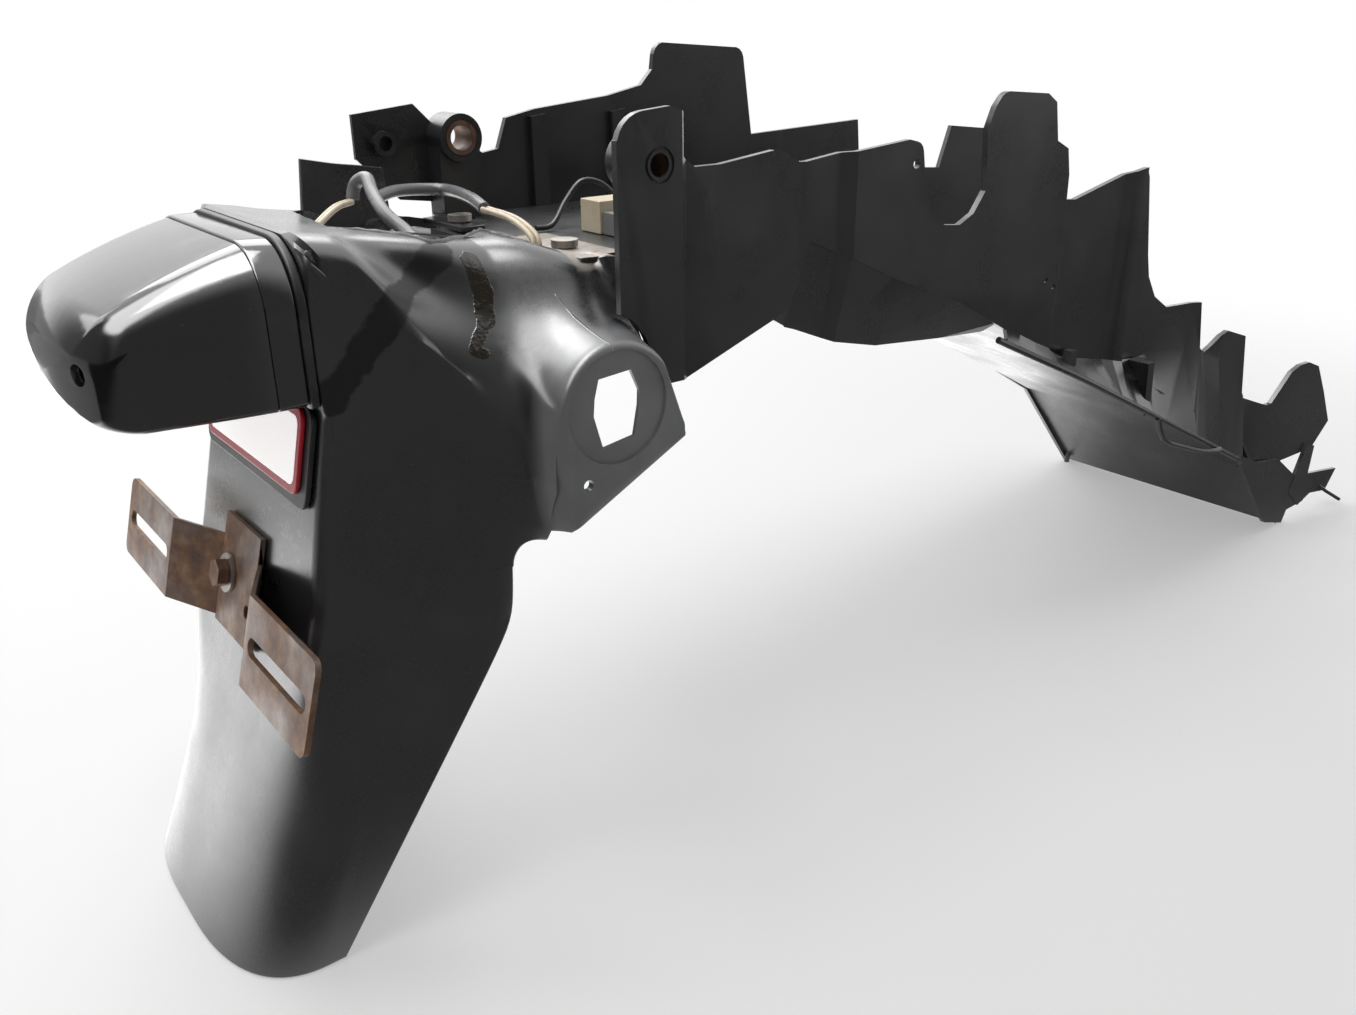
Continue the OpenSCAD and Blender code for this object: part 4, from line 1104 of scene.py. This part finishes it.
SHEATH_D, LEAD_D = 5.0, 2.2
MAIN_ROUTE = [(-266, 31, 258.5), (-264, 31, 264), (-262, 25, 266.5), (-265, 14, 262.5), (-268, -2, 257),
              (-267, -16, 252), (-268, -30, 247), (-268, -37, 241)]
BRANCH_ROUTE = [(-251, 44, 256), (-238, 52, 257), (-225, 53, 256.5), (-217, 46, 256), (-220, 22, 255.5),
                (-225, 2, 254)]
LAMP_ROUTE = [(-313, 2, 231), (-305, 4, 243), (-296, 5, 249.9), (-288.5, 9, 254.7), (-277, 21, 257.5),
              (-268, 28, 258)]
TAIL_ROUTE = [(-225.4, 0.8, 254), (-226, -21, 253), (-227, -36, 249), (-228, -40, 244), (-229, -41, 236)]
EARTH_ROUTE = [(-198, 9, 242.8), (-190, 9, 243.5), (-181, 12, 252), (-173, 12, 259), (-165, 10, 258),
               (-160, 6, 252), (-161, 2, 245)]
wire("main_sheath_tube", MAIN_ROUTE, SHEATH_D, "sheath_vinyl", "main_sheath")
wire("branch_sheath_tube", BRANCH_ROUTE, SHEATH_D, "sheath_vinyl", "branch_sheath")
for side in (-1, 1):
    tag = "right" if side < 0 else "left"
    wire("lamp_lead_" + tag, LAMP_ROUTE, LEAD_D, "cream_insulation", "lamp_leads", (0, side * 1.2, 0))
    wire("tail_lead_" + tag, TAIL_ROUTE, LEAD_D, "cream_insulation", "tail_leads", (side * 1.2, 0, 0))
wire("earth_lead_tube", EARTH_ROUTE, LEAD_D, "black_insulation", "earth_lead")


# Solids that keep their shape, with their edges rounded
softened("undertray", 0.6)
softened("plate_bracket", 0.4, corner_from=98.5)
for name in ("connector_socket", "connector_plug"):
    softened(name, 0.5)


# Floor, light and background. Gloss sees its own levels: dark by the camera and at the left rear, pale beyond
DARK_SIDE = Vector((-0.26, -0.96, -0.08))
LEFT_REAR = Vector((-0.9, 0.43, 0.0))
LEFT_LEVEL = 0.12
DARK_LEVEL, PALE_LEVEL, FLOOR_PALE = 0.155, 1.5, 2.9
WORLD_LEVEL, WHITE = 0.3, 1.0
FLOOR_R, FLOOR_DROP = 20.0, 0.0002


def make_floor():
    bm = bmesh.new()
    bmesh.ops.create_circle(bm, cap_ends=True, segments=96, radius=FLOOR_R)
    mesh = bpy.data.meshes.new("floor")
    bm.to_mesh(mesh)
    bm.free()
    obj = bpy.data.objects.new("floor", mesh)
    bpy.context.scene.collection.objects.link(obj)
    obj.location.z = -FLOOR_DROP
    s = Shader("floor", Base_Color=(0.92, 0.92, 0.915, 1.0), Roughness=0.8)
    seen, gloss = s.ray_kinds()
    # The camera sees the shaded floor near the object and plain white far from it
    reach = s.smooth(s.vector("LENGTH", s.place, out="Value"), 0.3, 1.05, 0.36, 1.0)
    amount = s.value_mix(gloss, s.value_mix(seen, 0.0, reach), 1.0)
    # Gloss sees a dark half by the camera, a shade under the object and another at the left rear
    ahead = s.dot(s.vector("ABSOLUTE", s.place), (-DARK_SIDE.x, 0.0, 0.0))
    side = s.smooth(s.math("ADD", s.dot(s.place, (0.0, DARK_SIDE.y, 0.0)), ahead), 0.0, 0.22,
                    FLOOR_PALE, DARK_LEVEL)
    under = s.vector("LENGTH", s.moved(s.place, (0.6, 2.0, 1.0), (-0.09, 0.0, 0.0)), out="Value")
    shade = s.math("MULTIPLY", side, s.smooth(under, 0.1, 0.34, 0.12, 1.0))
    left = s.smooth(s.dot(s.place, LEFT_REAR), 0.72, 0.95, 1.0, LEFT_LEVEL)
    white = s.node("ShaderNodeEmission")
    s.feed(s.value_mix(gloss, WHITE, s.math("MULTIPLY", shade, left)), white.inputs["Strength"])
    mix = s.node("ShaderNodeMixShader")
    s.feed(amount, mix.inputs["Fac"])
    s.feed(s.bsdf.outputs["BSDF"], mix.inputs[1])
    s.feed(white.outputs["Emission"], mix.inputs[2])
    s.feed(mix.outputs["Shader"], s.tree.nodes["Material Output"].inputs["Surface"])
    mesh.materials.append(s.mat)


make_floor()


def direction(azimuth, elevation):
    a, e = math.radians(azimuth), math.radians(elevation)
    return Vector((math.cos(a) * math.cos(e), math.sin(a) * math.cos(e), math.sin(e)))


# Pale cards that only gloss shows: azimuth, elevation, cosines of the soft edge, level
CARDS = ((150, 76, 0.88, 0.95, 6.0), (186, 54, 0.9, 0.965, 6.0))


def area_light(name, azimuth, elevation, distance, size, radiance):
    """Soft box seen from the object at that azimuth and elevation, in degrees."""
    data = bpy.data.lights.new(name, "AREA")
    data.shape = "RECTANGLE"
    data.size, data.size_y = size
    data.energy = radiance * math.pi * size[0] * size[1]
    obj = bpy.data.objects.new(name, data)
    bpy.context.scene.collection.objects.link(obj)
    target = Vector((-0.12, 0.0, 0.15))
    way = direction(azimuth, elevation)
    obj.location = target + distance * way
    obj.rotation_euler = (-way).to_track_quat("-Z", "Y").to_euler()


area_light("overhead", 150, 78, 1.4, (1.0, 0.6), 5.2)
area_light("behind", 84, 42, 1.5, (1.0, 0.7), 3.6)
area_light("left", 130, 30, 1.6, (0.7, 0.6), 2.0)


def make_world():
    world = bpy.data.worlds.new("world")
    bpy.context.scene.world = world
    world.use_nodes = True
    s = Nodes(world.node_tree)
    s.tree.nodes.clear()
    out = s.node("ShaderNodeOutputWorld")
    sky = s.node("ShaderNodeBackground")
    sky.inputs["Color"].default_value = (1.0, 1.0, 1.0, 1.0)
    way = s.node("ShaderNodeTexCoord").outputs["Generated"]
    seen, gloss = s.ray_kinds()
    side = s.smooth(s.dot(way, DARK_SIDE), 0.1, 0.75, PALE_LEVEL, DARK_LEVEL)
    side = s.math("MULTIPLY", side, s.smooth(s.dot(way, LEFT_REAR), 0.5, 0.8, 1.0, LEFT_LEVEL))
    for azimuth, elevation, low, high, level in CARDS:
        card = s.smooth(s.dot(way, direction(azimuth, elevation)), low, high, 0.0, 1.0)
        side = s.value_mix(card, side, level)
    strength = s.value_mix(seen, s.value_mix(gloss, WORLD_LEVEL, side), WHITE)
    s.feed(strength, sky.inputs["Strength"])
    s.feed(sky.outputs["Background"], out.inputs["Surface"])


make_world()
bpy.context.scene.view_settings.view_transform = "Standard"
